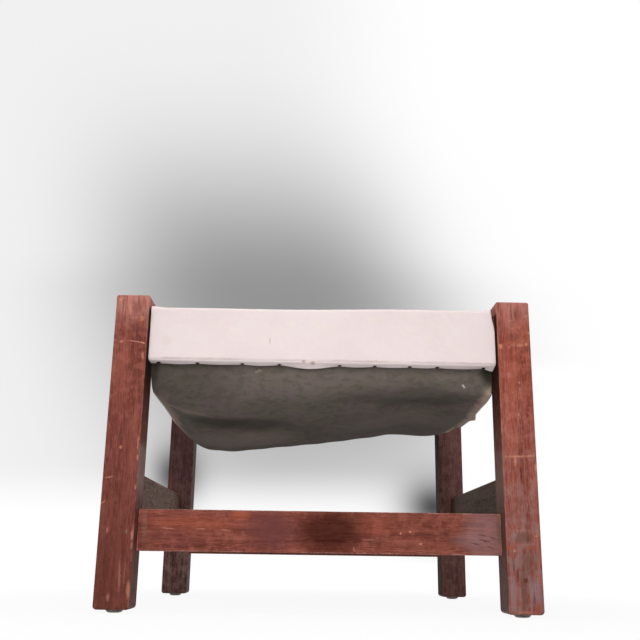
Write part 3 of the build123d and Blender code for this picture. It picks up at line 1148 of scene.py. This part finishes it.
@dataclass(frozen=True)
class MetalFinish:
    """Old dark metal with rust or rubbed places."""

    name: str
    body: Colour
    worn: Colour
    rust: Colour
    bright: float
    dull: float

    def material(self, effects: Effects) -> bpy.types.Material:
        """Build the finish.

        Args:
            effects: The shared effects.

        Returns:
            The finished material.
        """
        coat = Coat(self.name, effects)
        w = coat.w
        clouds = coat.clouds((5.0, 5.0, 5.0), (0.4, 0.2, 0.9))
        specks = w.noise(coat.point, size=1.3, detail=4, roughness=0.7)
        rusted = w.span(clouds["Fine"], 0.55, 0.95, 0.0, 0.8)
        colour = w.blend(self.body, self.worn, w.span(specks, 0.4, 0.7))
        colour = w.blend(colour, self.rust, rusted)
        roughness = w.span(specks, 0.3, 0.7, self.bright, self.dull)
        metallic = w.span(rusted, 0.0, 0.8, 1.0, 0.1)
        return coat.finish(colour, roughness, [(specks, 0.12), (rusted, 0.08)], {"Metallic": metallic})


TACK_IRON = MetalFinish(
    name="tack_iron",
    body=screen(30, 26, 25),
    worn=screen(58, 52, 50),
    rust=screen(70, 38, 28),
    bright=0.45,
    dull=0.8,
)
GLIDE_STEEL = MetalFinish(
    name="glide_steel",
    body=screen(54, 50, 48),
    worn=screen(136, 128, 124),
    rust=screen(60, 42, 34),
    bright=0.22,
    dull=0.5,
)


def put_on(node: str, material: bpy.types.Material) -> None:
    """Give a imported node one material."""
    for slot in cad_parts[node].material_slots:
        slot.material = material


@dataclass
class TimberFrame:
    """Posts, stretchers, side boards and the two hidden seat rails, as imported."""

    finishes: Mapping[str, TimberFinish]
    tenon: float = 28.0

    def dress(self, effects: Effects) -> None:
        """Give each timber its own finish, worn along the edges between its tenons.

        Args:
            effects: The shared effects.
        """
        ends = {
            Grain.UPRIGHT: Vector((0.0, 0.0, 0.0)),
            Grain.SIDEWAYS: Vector((self.tenon * MM, 0.0, 0.0)),
            Grain.FRONT_TO_BACK: Vector((0.0, self.tenon * MM, 0.0)),
        }
        for node, finish in self.finishes.items():
            low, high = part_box(node)
            tenons = ends[finish.grain]
            put_on(node, finish.material(low + tenons, high - tenons, effects))
            log.info("%s: %s, grain %s", node, finish.name, finish.grain.name.lower())


@dataclass
class Ironmongery:
    """The hem tacks and the nailed glides, as imported."""

    tacks: tuple[str, ...] = ("front_hem_tacks", "rear_hem_tacks")
    glides: tuple[str, ...] = (
        "glide_front_left",
        "glide_front_right",
        "glide_rear_left",
        "glide_rear_right",
    )

    def dress(self, effects: Effects) -> None:
        """Give the tacks and the glides their metals.

        Args:
            effects: The shared effects.
        """
        for nodes, finish in ((self.tacks, TACK_IRON), (self.glides, GLIDE_STEEL)):
            material = finish.material(effects)
            for node in nodes:
                put_on(node, material)
                log.info("%s: %s", node, finish.name)


class Side(Enum):
    """The sides of the hide, as the numbers of their material slots."""

    GRAIN = 0
    SUEDE = 1
    CUT = 2


@dataclass(frozen=True)
class Fold:
    """A soft fold in the hanging sheet: a line in plan, and how far the sheet moves there."""

    line: tuple[tuple[float, float], ...]
    lift: float
    breadth: float
    fade: float


@dataclass(frozen=True)
class Droop:
    """A stretch of the front hem that hangs down between two tacks."""

    start: float
    end: float
    depth: float


@dataclass(frozen=True)
class Hang:
    """How the hide hangs at one place across it, as shares of the sag and the leaving heights."""

    across: float
    sag: float
    front: float
    rear: float


@dataclass
class LeatherSling:
    """The hide that wraps both rails and sags between them, in millimetres."""

    half_width: float = 229.0
    leather: float = 3.0
    rail_top: float = 387.5
    rail_bottom: float = 320.5
    rail_outer: float = 249.0
    rail_inner: float = 225.0
    hem_depth: float = 16.0
    bend: float = 2.0
    sag: float = 150.0
    leave: float = 70.0
    front_slack: float = 3.4
    rear_slack: float = 1.2
    turn_share: float = 0.62
    left_bow: float = 8.0
    right_bow: float = 1.0
    columns: int = 132
    rim_steps: int = 7
    rim_share: float = 0.35
    path_length: float = 0.0

    HEM_STEPS = 9
    BEND_STEPS = 7
    FACE_STEPS = 14
    TOP_STEPS = 5
    DOWN_STEPS = 12
    TURN_STEPS = 22
    SAG_STEPS = 64
    REAR_TACK_PITCH = 47.1
    HANG_DEPTH, WALL_REACH, BOW_DEPTH = 40, 8, 20
    CURL_LEFT, CURL_RIGHT = 205, 200
    LOBE_AT, LOBE_BREADTH, LOBE = -101, 10.5, (4.2, 0.0, -4.0)
    EDGE_LIFT, CORNER_DRAW, DRAWN_FROM = 1.7, 4.2, 190

    hangs: tuple[Hang, ...] = (
        Hang(-1.000, 0.807, 1.13, 1.17),
        Hang(-0.930, 0.907, 1.11, 1.12),
        Hang(-0.850, 0.972, 1.08, 1.07),
        Hang(-0.720, 1.000, 1.03, 1.02),
        Hang(-0.420, 0.964, 0.96, 0.97),
        Hang(-0.130, 0.913, 0.95, 0.96),
        Hang(0.230, 0.833, 0.95, 0.96),
        Hang(0.480, 0.763, 0.96, 0.96),
        Hang(0.610, 0.716, 0.98, 0.96),
        Hang(0.770, 0.746, 1.06, 0.92),
        Hang(0.900, 0.765, 1.20, 0.86),
        Hang(1.000, 0.737, 1.30, 0.80),
    )
    folds: tuple[Fold, ...] = (
        Fold(((-208, -196), (-185, -182), (-160, -170), (-130, -160), (-80, -155)), -2.6, 12, 22),
        Fold(((-200, -128), (-150, -116), (-100, -104), (-50, -78), (10, -58)), 5.6, 21, 26),
        Fold(((50, -168), (90, -156), (130, -138), (180, -142), (208, -166)), 3.6, 17, 24),
        Fold(((60, -100), (120, -88), (190, -84)), -1.4, 22, 30),
    )
    droops: tuple[Droop, ...] = (
        Droop(-217.6, -166.0, 1.0),
        Droop(-166.0, -106.5, 0.8),
        Droop(-106.5, -57.3, 1.2),
        Droop(-57.3, 22.9, 4.5),
        Droop(22.9, 69.8, 1.2),
        Droop(69.8, 116.8, 0.9),
        Droop(116.8, 153.4, 0.7),
        Droop(153.4, 215.3, 1.0),
        Droop(215.3, 244.0, 4.0),
    )

    @property
    def wall(self) -> float:
        """How far from the centre the sheet's middle hangs down the rails' inner faces."""
        return self.rail_inner - self.leather / 2

    def build(self) -> bpy.types.Object:
        """Build the whole sheet as one closed mesh.

        Returns:
            The sling, with its three sides in their own material slots.
        """
        middle = self.middle_surface(self.column_places())
        self.path_length = float(np.linalg.norm(np.diff(middle, axis=0), axis=2).sum(0).mean())
        return self.closed_mesh(self.disturbed(middle))

    def column_places(self) -> np.ndarray:
        """The columns from left to right as shares, closer together near the cut edges."""
        even = np.linspace(-1, 1, self.columns)
        return 0.72 * even + 0.28 * np.sin(even * math.pi / 2)

    def middle_surface(self, across: np.ndarray) -> np.ndarray:
        """Lay out the sheet's middle surface.

        Args:
            across: The columns, as shares of the half width.

        Returns:
            Points in millimetres, from the front hem's cut end to the rear one's, by column.
        """
        half = self.leather / 2
        places, sags, fronts, rears = np.array([(h.across, h.sag, h.front, h.rear) for h in self.hangs]).T
        low = self.rail_top - self.sag * smooth_curve(places, sags, across)
        front_z = self.rail_top - self.leave * smooth_curve(places, fronts, across)
        rear_z = self.rail_top - self.leave * smooth_curve(places, rears, across)
        front_turn = self.turn_share * (front_z - low)
        rear_turn = self.turn_share * (rear_z - low)
        front = (front_turn - self.rail_inner, front_z)
        rear = (self.rail_inner - rear_turn, rear_z)
        centre, radius = touching_arc(low, (*front, front_turn), (*rear, rear_turn))
        joins = [np.arctan2(z - centre[1], y - centre[0]) % (2 * math.pi) for y, z in (front, rear)]
        hang = [
            arc(front, front_turn - half, (math.pi, joins[0]), self.TURN_STEPS),
            arc(centre, radius - half, joins, self.SAG_STEPS),
            arc(rear, rear_turn - half, (joins[1], 2 * math.pi), self.TURN_STEPS),
        ]
        before = [(-y, z) for y, z in self.wrap(front_z)]
        after = [(y[::-1], z[::-1]) for y, z in reversed(self.wrap(rear_z))]
        runs = [np.stack(np.broadcast_arrays(y, z, across)[:2]) for y, z in before + hang + after]
        ys, zs = np.concatenate([run[:, :-1] for run in runs] + [runs[-1][:, -1:]], axis=1)
        free = np.clip(1 - (ys / self.wall) ** 2, 0, 1) * (zs < self.rail_top - self.BOW_DEPTH)
        bow = np.where(across < 0, self.left_bow, self.right_bow)
        xs = across * (self.half_width - self.rim_share * self.leather - bow * free)
        return np.stack([xs, ys, zs], axis=2)

    def wrap(self, leaving: np.ndarray) -> list[tuple[np.ndarray, np.ndarray]]:
        """Lay the hide round the rear rail, which the front one mirrors.

        Args:
            leaving: The height where the hang starts, by column.

        Returns:
            Runs of points in Y and Z, from the hem's cut end to the start of the hang.
        """
        half, bend = self.leather / 2, self.bend
        radius = bend + half
        hem_end, outside = self.rail_outer - self.hem_depth, self.rail_outer + half
        under, over = self.rail_bottom - half, self.rail_top + half
        outer, inner = self.rail_outer - bend, self.rail_inner + bend
        lower, upper = self.rail_bottom + bend, self.rail_top - bend
        quarter = math.pi / 2
        return [
            straight((hem_end, under), (outer, under), self.HEM_STEPS),
            arc((outer, lower), radius, (3 * quarter, 4 * quarter), self.BEND_STEPS),
            straight((outside, lower), (outside, upper), self.FACE_STEPS),
            arc((outer, upper), radius, (0.0, quarter), self.BEND_STEPS),
            straight((outer, over), (inner, over), self.TOP_STEPS),
            arc((inner, upper), radius, (quarter, 2 * quarter), self.BEND_STEPS),
            straight((self.wall, upper), (self.wall, leaving), self.DOWN_STEPS),
        ]

    def disturbed(self, middle: np.ndarray) -> np.ndarray:
        """Add the folds, the curled edges, the drooping hem and the slight unevenness.

        Args:
            middle: The points of the even middle surface.

        Returns:
            The moved points.
        """
        x, y, z = np.moveaxis(middle, 2, 0)
        normal = self.normals(middle)
        below = ease(-z, self.HANG_DEPTH - self.rail_top, self.HANG_DEPTH)
        hanging = below * ease(-np.abs(y), -self.wall, self.WALL_REACH)
        lift = sum(self.fold_lift(fold, x, y) for fold in self.folds)
        lift += self.swell(x, y) + self.edge_curl(x, y)
        moved = middle + normal * (lift * hanging)[..., None]
        moved += self.edge_lobe(x, y) * hanging[..., None]
        moved += self.lifted_corners(x, y, z, normal)
        moved[..., 2] -= self.hem_droop(x, y, z)
        moved[..., 0] -= self.drawn_corner(x, y, z)
        return moved

    def fold_lift(self, fold: Fold, x: np.ndarray, y: np.ndarray) -> np.ndarray:
        """Work out how far a fold lifts the sheet.

        Args:
            fold: The fold.
            x: X of each point.
            y: Y of each point.

        Returns:
            The lift along the sheet's normal.
        """
        line = np.array(fold.line, float)
        places = smooth_curve(line[:, 0], line[:, 1], np.clip(x, line[0, 0], line[-1, 0]))
        before = ease(x, line[0, 0] - fold.fade, fold.fade)
        after = ease(-x, -line[-1, 0] - fold.fade, fold.fade)
        return fold.lift * np.exp(-0.5 * ((y - places) / fold.breadth) ** 2) * before * after

    def swell(self, x: np.ndarray, y: np.ndarray) -> np.ndarray:
        """Two shallow swells that cross the whole hanging sheet, as a lift along its normal."""
        broad = 0.45 * np.sin(x / 31 + 0.6) * np.sin(y / 47 + 1.1)
        return broad + 0.25 * np.sin(x / 17 - y / 29 + 2.0)

    def edge_curl(self, x: np.ndarray, y: np.ndarray) -> np.ndarray:
        """How far the free edges ripple and curl, as a lift along the sheet's normal."""
        right = ease(x, self.CURL_RIGHT, 26) * (0.9 + 0.7 * np.sin(y / 21 + 0.4) + 0.3 * np.sin(y / 9.5))
        return right + ease(-x, self.CURL_LEFT, 22) * (0.5 * np.sin(y / 26) - 0.3)

    def edge_lobe(self, x: np.ndarray, y: np.ndarray) -> np.ndarray:
        """The place on the right where the cut edge bulges out and hangs down."""
        near = ease(x, 206, 20) * np.exp(-0.5 * ((y - self.LOBE_AT) / self.LOBE_BREADTH) ** 2)
        return near[..., None] * np.array(self.LOBE)

    def hem_droop(self, x: np.ndarray, y: np.ndarray, z: np.ndarray) -> np.ndarray:
        """Work out how far the hems hang down between their tacks.

        Args:
            x: X of each point.
            y: Y of each point.
            z: Z of each point.

        Returns:
            The drop of each point, which grows from the fold to the cut end.
        """
        drop = np.zeros_like(x)
        for droop in self.droops:
            share = np.clip((x - droop.start) / (droop.end - droop.start), 0, 1)
            drop += droop.depth * np.sin(share * math.pi) ** 1.5
        wave = 0.7 * (1 - np.cos((x / self.REAR_TACK_PITCH + 0.5) * 2 * math.pi)) / 2
        from_fold = (self.rail_outer - self.bend - np.abs(y)) / (self.hem_depth - self.bend)
        reach = np.clip(from_fold, 0, 1) * (z < self.rail_bottom)
        return np.where(y < 0, drop * reach**1.2, wave * reach)

    def lifted_corners(self, x: np.ndarray, y: np.ndarray, z: np.ndarray, normal: np.ndarray) -> np.ndarray:
        """Lift the cut edges off the rails' tops, and let the tops go a little out of level.

        Args:
            x: X of each point.
            y: Y of each point.
            z: Z of each point.
            normal: The surface's normal there.

        Returns:
            The way that each point moves.
        """
        near_top = ease(z, self.rail_top - 8, 9)
        edge = ease(np.abs(x), self.half_width - 20, 20)
        wave = 0.25 * np.sin(x / 38 + np.sign(y)) + 0.25
        moved = normal * (near_top * (self.EDGE_LIFT * edge + wave))[..., None]
        slack = np.where(y < 0, self.front_slack, self.rear_slack) * ease(x, -110, 260)
        moved[..., 2] += slack * ease(z, self.rail_top - 34, 34)
        return moved

    def drawn_corner(self, x: np.ndarray, y: np.ndarray, z: np.ndarray) -> np.ndarray:
        """How far the right cut edge is drawn in towards the top fold of the front rail."""
        near_top = ease(z, self.rail_top - 26, 28) * (y < -self.rail_inner + 4)
        return self.CORNER_DRAW * near_top * ease(x, self.DRAWN_FROM, 38)

    @staticmethod
    def normals(surface: np.ndarray) -> np.ndarray:
        """The unit normals of a grid of points, towards the grain side."""
        normal = np.cross(np.gradient(surface, axis=1), np.gradient(surface, axis=0))
        return normal / np.linalg.norm(normal, axis=2, keepdims=True)

    def closed_mesh(self, middle: np.ndarray) -> bpy.types.Object:
        """Thicken the middle surface into a closed sheet with rounded cut edges.

        Args:
            middle: The middle surface's points, in millimetres.

        Returns:
            The mesh object.
        """
        half = self.leather / 2
        rows, columns = middle.shape[:2]
        count = rows * columns
        index = np.arange(count).reshape(rows, columns)
        corners = [index[:-1, :-1], index[:-1, 1:], index[1:, 1:], index[1:, :-1]]
        quads = np.stack(corners, axis=2).reshape(-1, 4)
        faces = quads.tolist() + (quads[:, ::-1] + count).tolist()
        sides = [Side.GRAIN.value] * len(quads) + [Side.SUEDE.value] * len(quads)

        rim = np.concatenate([index[0, :-1], index[:-1, -1], index[-1, :0:-1], index[:0:-1, 0]])
        normal = self.normals(middle).reshape(-1, 3)
        middle = middle.reshape(-1, 3)
        ring, upward = middle[rim], normal[rim]
        outward = np.cross(np.roll(ring, -1, axis=0) - np.roll(ring, 1, axis=0), upward)
        outward /= np.linalg.norm(outward, axis=1, keepdims=True)
        points = [middle + normal * half, middle - normal * half]
        loops = [rim]
        for angle in np.linspace(math.pi / 2, -math.pi / 2, self.rim_steps)[1:-1]:
            rise = half * math.copysign(abs(math.sin(angle)) ** 0.7, math.sin(angle))
            reach = self.rim_share * self.leather * math.cos(angle) ** 0.7
            points.append(ring + upward * rise + outward * reach)
            loops.append(2 * count + (len(loops) - 1) * len(rim) + np.arange(len(rim)))
        loops.append(rim + count)
        for upper, lower in zip(loops, loops[1:]):
            strip = [upper, lower, np.roll(lower, -1), np.roll(upper, -1)]
            faces += np.stack(strip, axis=1).tolist()
            sides += [Side.CUT.value] * len(rim)

        mesh = bpy.data.meshes.new("leather_sling_sheet")
        mesh.from_pydata((np.concatenate(points) * MM).tolist(), [], faces)
        mesh.polygons.foreach_set("material_index", sides)
        mesh.polygons.foreach_set("use_smooth", [True] * len(faces))
        mesh.update()
        sheet = bpy.data.objects.new("leather_sling_sheet", mesh)
        bpy.context.scene.collection.objects.link(sheet)
        return sheet

    def dress(self, sheet: bpy.types.Object, effects: Effects) -> None:
        """Give the sheet its three finishes, hide the imported sling and hang the sheet on the root body.

        Args:
            sheet: The sling.
            effects: The shared effects.
        """
        suede = SuedeFinish(self.half_width, self.wall, self.left_bow, self.right_bow)
        for finish in (LeatherFinish(), suede, CutEdgeFinish()):
            sheet.data.materials.append(finish.material(effects))
        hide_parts("leather_sling")
        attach(sheet, "root")
        log.info("%s: %.0f mm along the path", sheet.name, self.path_length)


def ease(value: np.ndarray, start: float, width: float) -> np.ndarray:
    """Ease from 0 where a value passes a start to 1 a width further on."""
    held = np.clip((value - start) / width, 0, 1)
    return held * held * (3 - 2 * held)


def smooth_curve(places: np.ndarray, values: np.ndarray, at: np.ndarray) -> np.ndarray:
    """Read a smooth curve that runs through a few points.

    Args:
        places: Where the points are, rising.
        values: The curve's value at each point.
        at: Where to read the curve.

    Returns:
        The curve's values there.
    """
    slopes = np.gradient(values, places)
    span = np.clip(np.searchsorted(places, at) - 1, 0, len(places) - 2)
    width = places[span + 1] - places[span]
    share = (at - places[span]) / width
    rise = values[span + 1] - values[span]
    first = slopes[span] * width - rise
    last = rise - slopes[span + 1] * width
    bulge = share * (1 - share) * (first * (1 - share) + last * share)
    return values[span] + share * rise + bulge


def touching_arc(
    low: np.ndarray, front: tuple[np.ndarray, ...], rear: tuple[np.ndarray, ...]
) -> tuple[tuple[np.ndarray, np.ndarray], np.ndarray]:
    """Find the arc along the bottom that touches the front and the rear turn.

    Args:
        low: The arc's lowest height.
        front: The front turn's centre, Y and Z, and its radius.
        rear: The rear turn's centre and radius.

    Returns:
        The arc's centre, Y and Z, and its radius.
    """
    front_y, front_z, front_turn = front
    rear_y, rear_z, rear_turn = rear
    span = rear_y - front_y
    front_drop, rear_drop = front_z - low, rear_z - low
    front_lift, rear_lift = front_drop - front_turn, rear_drop - rear_turn
    square = 1 / front_lift - 1 / rear_lift
    linear = 2 * span / rear_lift
    constant = front_drop + front_turn - rear_drop - rear_turn - span**2 / rear_lift
    behind = -2 * constant / (linear + np.sqrt(linear**2 - 4 * square * constant))
    radius = (behind**2 / front_lift + front_drop + front_turn) / 2
    return (front_y + behind, low + radius), radius


def straight(
    start: tuple[ByColumn, ByColumn], end: tuple[ByColumn, ByColumn], steps: int
) -> tuple[np.ndarray, np.ndarray]:
    """Place points along a straight run.

    Args:
        start: Y and Z of its start, each for all columns or by column.
        end: Y and Z of its end.
        steps: How many steps it has.

    Returns:
        Y and Z of the points, one row for each.
    """
    share = np.linspace(0, 1, steps + 1)[:, None]
    y, z = (first * (1 - share) + last * share for first, last in zip(start, end))
    return y, z


def arc(
    centre: tuple[ByColumn, ByColumn], radius: ByColumn, angles: Sequence[ByColumn], steps: int
) -> tuple[np.ndarray, np.ndarray]:
    """Place points along an arc.

    Args:
        centre: Y and Z of its centre, each for all columns or by column.
        radius: Its radius.
        angles: The angles of its start and end, in radians from the rear.
        steps: How many steps it has.

    Returns:
        Y and Z of the points, one row for each.
    """
    share = np.linspace(0, 1, steps + 1)[:, None]
    angle = angles[0] * (1 - share) + angles[1] * share
    return centre[0] + radius * np.cos(angle), centre[1] + radius * np.sin(angle)


def seen_directly(w: Wiring) -> Socket:
    """Tell rays that see the backdrop, straight or in metal and glass, from rays of light.

    Args:
        w: The wiring of the floor's or the world's nodes.

    Returns:
        1 for rays that see it, and 0 for others.
    """
    path = w.node("ShaderNodeLightPath").outputs
    glossy = w.math("MAXIMUM", path["Is Camera Ray"], path["Is Glossy Ray"])
    return w.math("MAXIMUM", glossy, path["Is Transmission Ray"])


@dataclass(frozen=True)
class LegShade:
    """A soft round shade on the backdrop beside a rear leg."""

    aside: float
    above: float
    breadth: float
    height: float = 0.038


@dataclass
class Backdrop:
    """A white backdrop with a soft painted grey shadow behind the stool, and painted shades beside the rear
    legs.

    Aside and above say how far a place on it lies to the right and up, for each metre ahead.
    """

    ambient: float = 0.15
    painted_shadow: Colour = screen(148, 148, 148)
    veil: Colour = screen(241, 241, 241)
    leg_shade: Colour = screen(80, 80, 80)
    wash_aside: float = 0.048
    wash_above: float = 0.335
    wash_lean: float = 0.28
    wash_down: float = 0.3
    wash_up: float = 0.2

    LEG_SHADES = (LegShade(0.163, 0.066, 0.043), LegShade(-0.163, 0.102, 0.031))
    WIDE_ABOVE, WIDE_FULL = 0.42, 0.33
    HALF_ABOVE, HALF_FULL = 0.215, 0.245
    FLOOR_END, FLOOR_CLEAR = 0.045, 0.12
    SIDE_END, AHEAD = 0.3, 0.7
    VEIL_RIGHT, VEIL_LEFT = 0.2, -0.1
    CLEAR_LEFT, CLEAR_RIGHT = 0.185, 0.198
    CLEAR_TOP, CLEAR_FULL = 0.27, 0.235
    LEGS_MIDDLE, LEGS_OUTSIDE, LEGS_INSIDE = -0.03, 0.215, 0.2

    def build(self) -> None:
        """Make the world: the backdrop for what is seen, and even light for the object."""
        world = bpy.data.worlds.new("studio")
        world.use_nodes = True
        world.node_tree.nodes.clear()
        bpy.context.scene.world = world
        w = Wiring(world.node_tree)
        x, y, z = w.parts(w.node("ShaderNodeTexCoord").outputs["Generated"])
        ahead = w.math("MAXIMUM", y, 0.001)
        aside, above = w.math("DIVIDE", x, ahead), w.math("DIVIDE", z, ahead)
        off_floor = w.span(above, self.FLOOR_END, self.FLOOR_CLEAR)
        behind = w.times(off_floor, w.span(y, self.SIDE_END, self.AHEAD))
        colour = w.blend(WHITE, self.veil, w.span(aside, self.VEIL_RIGHT, self.VEIL_LEFT), behind)
        colour = w.blend(colour, self.painted_shadow, self.painted_shadow_wash(w, aside, above), behind)
        between_legs = w.span(w.apart(aside, self.LEGS_MIDDLE), self.LEGS_OUTSIDE, self.LEGS_INSIDE)
        for shade in self.LEG_SHADES:
            beside = w.math("DIVIDE", w.math("SUBTRACT", aside, shade.aside), shade.breadth)
            over = w.math("DIVIDE", w.math("SUBTRACT", above, shade.above), shade.height)
            colour = w.blend(colour, self.leg_shade, w.bell((beside, 2.0), (over, 2.0)), between_legs)
        light = w.node("ShaderNodeBackground", {0: WHITE, 1: self.ambient}).outputs[0]
        seen = w.node("ShaderNodeBackground", {0: colour, 1: 1.0}).outputs[0]
        mixed = w.node("ShaderNodeMixShader", {0: seen_directly(w), 1: light, 2: seen}).outputs[0]
        w.node("ShaderNodeOutputWorld", {"Surface": mixed})

    def painted_shadow_wash(self, w: Wiring, aside: Feed, above: Feed) -> Feed:
        """Find the painted grey shadow, which leans left as it rises and stops behind the right rear leg.

        Args:
            w: The wiring of the world's nodes.
            aside: How far each place lies to the right.
            above: How far each place lies up.

        Returns:
            How grey each place is.
        """
        middle = w.math("SUBTRACT", self.wash_aside, w.times(above, self.wash_lean))
        half = w.span(above, self.WIDE_ABOVE, self.WIDE_FULL, self.HALF_ABOVE, self.HALF_FULL)
        off_side = w.math("DIVIDE", w.apart(aside, middle), half)
        off_height = w.math("SUBTRACT", above, self.wash_above)
        upper = w.times(w.math("GREATER_THAN", off_height, 0.0), self.wash_down - self.wash_up)
        breadth = w.math("SUBTRACT", self.wash_down, upper)
        painted_shadow = w.bell((off_side, 3.0), (w.math("DIVIDE", off_height, breadth), 2.0))
        clear = w.times(
            w.span(aside, self.CLEAR_LEFT, self.CLEAR_RIGHT), w.span(above, self.CLEAR_TOP, self.CLEAR_FULL)
        )
        return w.times(painted_shadow, w.math("SUBTRACT", 1.0, clear))


@dataclass
class Studio:
    """A pale floor, three soft lamps, the backdrop and the camera. Places are in millimetres."""

    camera_place: Triple = (-20.8, -1255.1, 66.3)
    yaw: float = -0.986
    pitch: float = 14.101
    roll: float = -0.792
    lens: float = 44.25
    rise: float = 42 / 640
    floor_reach: float = 30000.0
    floor_tone: Colour = screen(236, 236, 236)

    FLOOR_NEAR, FLOOR_FAR, NEAR_SHARE = 350.0, 800.0, 0.93

    def build(self) -> None:
        """Set up the floor, the world, the lamps and the camera."""
        self.floor()
        Backdrop().build()
        self.lamp("key", (0, -1560, 560), (0, -160, 300), 620, 7.2)
        self.lamp("bounce", (0, -1000, 40), (0, -200, 300), 760, 2.5)
        self.lamp("overhead", (-200, -450, 1900), (0, -100, 200), 1300, 19.5)
        self.camera()
        bpy.context.scene.view_settings.view_transform = "Standard"

    def camera(self) -> None:
        """Stand the camera where the photograph was taken from."""
        camera = bpy.data.objects.new("camera", bpy.data.cameras.new("camera"))
        turns = ((self.yaw, "Z"), (self.pitch, "X"), (self.roll, "Y"), (90.0, "X"))
        place = Matrix.Translation(metres(*self.camera_place))
        for degrees, axis in turns:
            place = place @ Matrix.Rotation(math.radians(degrees), 4, axis)
        camera.matrix_world = place
        camera.data.lens = self.lens
        camera.data.shift_y = self.rise
        camera.data.clip_start = 0.01
        bpy.context.scene.collection.objects.link(camera)
        bpy.context.scene.camera = camera

    def lamp(self, name: str, place: Triple, towards: Triple, size: float, power: float) -> None:
        """Hang one soft lamp.

        Args:
            name: The lamp's name.
            place: Where it hangs, in millimetres.
            towards: What it points at.
            size: The side of its square face.
            power: Its power in watts.
        """
        light = bpy.data.lights.new(name, "AREA")
        light.size = size * MM
        light.energy = power
        lamp = bpy.data.objects.new(name, light)
        lamp.location = metres(*place)
        down = Vector(metres(*towards)) - lamp.location
        lamp.rotation_euler = down.to_track_quat("-Z", "Y").to_euler()
        lamp.visible_camera = False
        lamp.visible_glossy = False
        bpy.context.scene.collection.objects.link(lamp)

    def floor(self) -> None:
        """Lay the floor: white where nothing stands on it, with the stool's soft shadow."""
        mesh = bpy.data.meshes.new("floor")
        (reach,) = metres(self.floor_reach)
        corners = [(-reach, -reach, 0), (reach, -reach, 0), (reach, reach, 0), (-reach, reach, 0)]
        mesh.from_pydata(corners, [], [(0, 1, 2, 3)])
        floor = bpy.data.objects.new("floor", mesh)
        bpy.context.scene.collection.objects.link(floor)
        material, w = bare_material("floor")
        point = w.node("ShaderNodeTexCoord").outputs["Object"]
        matt = w.node("ShaderNodeBsdfDiffuse", {"Color": self.floor_tone}).outputs[0]
        white = w.node("ShaderNodeEmission", {"Color": WHITE}).outputs[0]
        clear = w.node("ShaderNodeBsdfTransparent").outputs[0]
        from_stool = w.vector("LENGTH", point)
        far = w.span_mm(from_stool, self.FLOOR_NEAR, self.FLOOR_FAR, self.NEAR_SHARE, 1.0)
        whitened = w.times(seen_directly(w), far)
        above = w.node("ShaderNodeMixShader", {0: whitened, 1: matt, 2: white}).outputs[0]
        from_below = w.times(
            w.node("ShaderNodeLightPath").outputs["Is Camera Ray"],
            w.node("ShaderNodeNewGeometry").outputs["Backfacing"],
        )
        shown = w.node("ShaderNodeMixShader", {0: from_below, 1: above, 2: clear}).outputs[0]
        w.node("ShaderNodeOutputMaterial", {"Surface": shown})
        mesh.materials.append(material)


TIMBERS = {
    "post_front_left": POST_FRONT_LEFT,
    "post_front_right": POST_FRONT_RIGHT,
    "post_rear_left": POST_REAR_LEFT_SHADED,
    "post_rear_right": POST_REAR_RIGHT_SHADED,
    "front_stretcher": FRONT_STRETCHER,
    "rear_stretcher": REAR_STRETCHER,
    "side_board_left": SIDE_BOARD_LEFT,
    "side_board_right": SIDE_BOARD_RIGHT,
    "front_seat_rail": SEAT_RAIL,
    "rear_seat_rail": SEAT_RAIL,
}


def main() -> None:
    """Build the stool's looks in order."""
    effects = Effects()
    Studio().build()
    TimberFrame(TIMBERS).dress(effects)
    Ironmongery().dress(effects)
    sling = LeatherSling()
    sling.dress(sling.build(), effects)


if __name__ == "__main__":
    main()
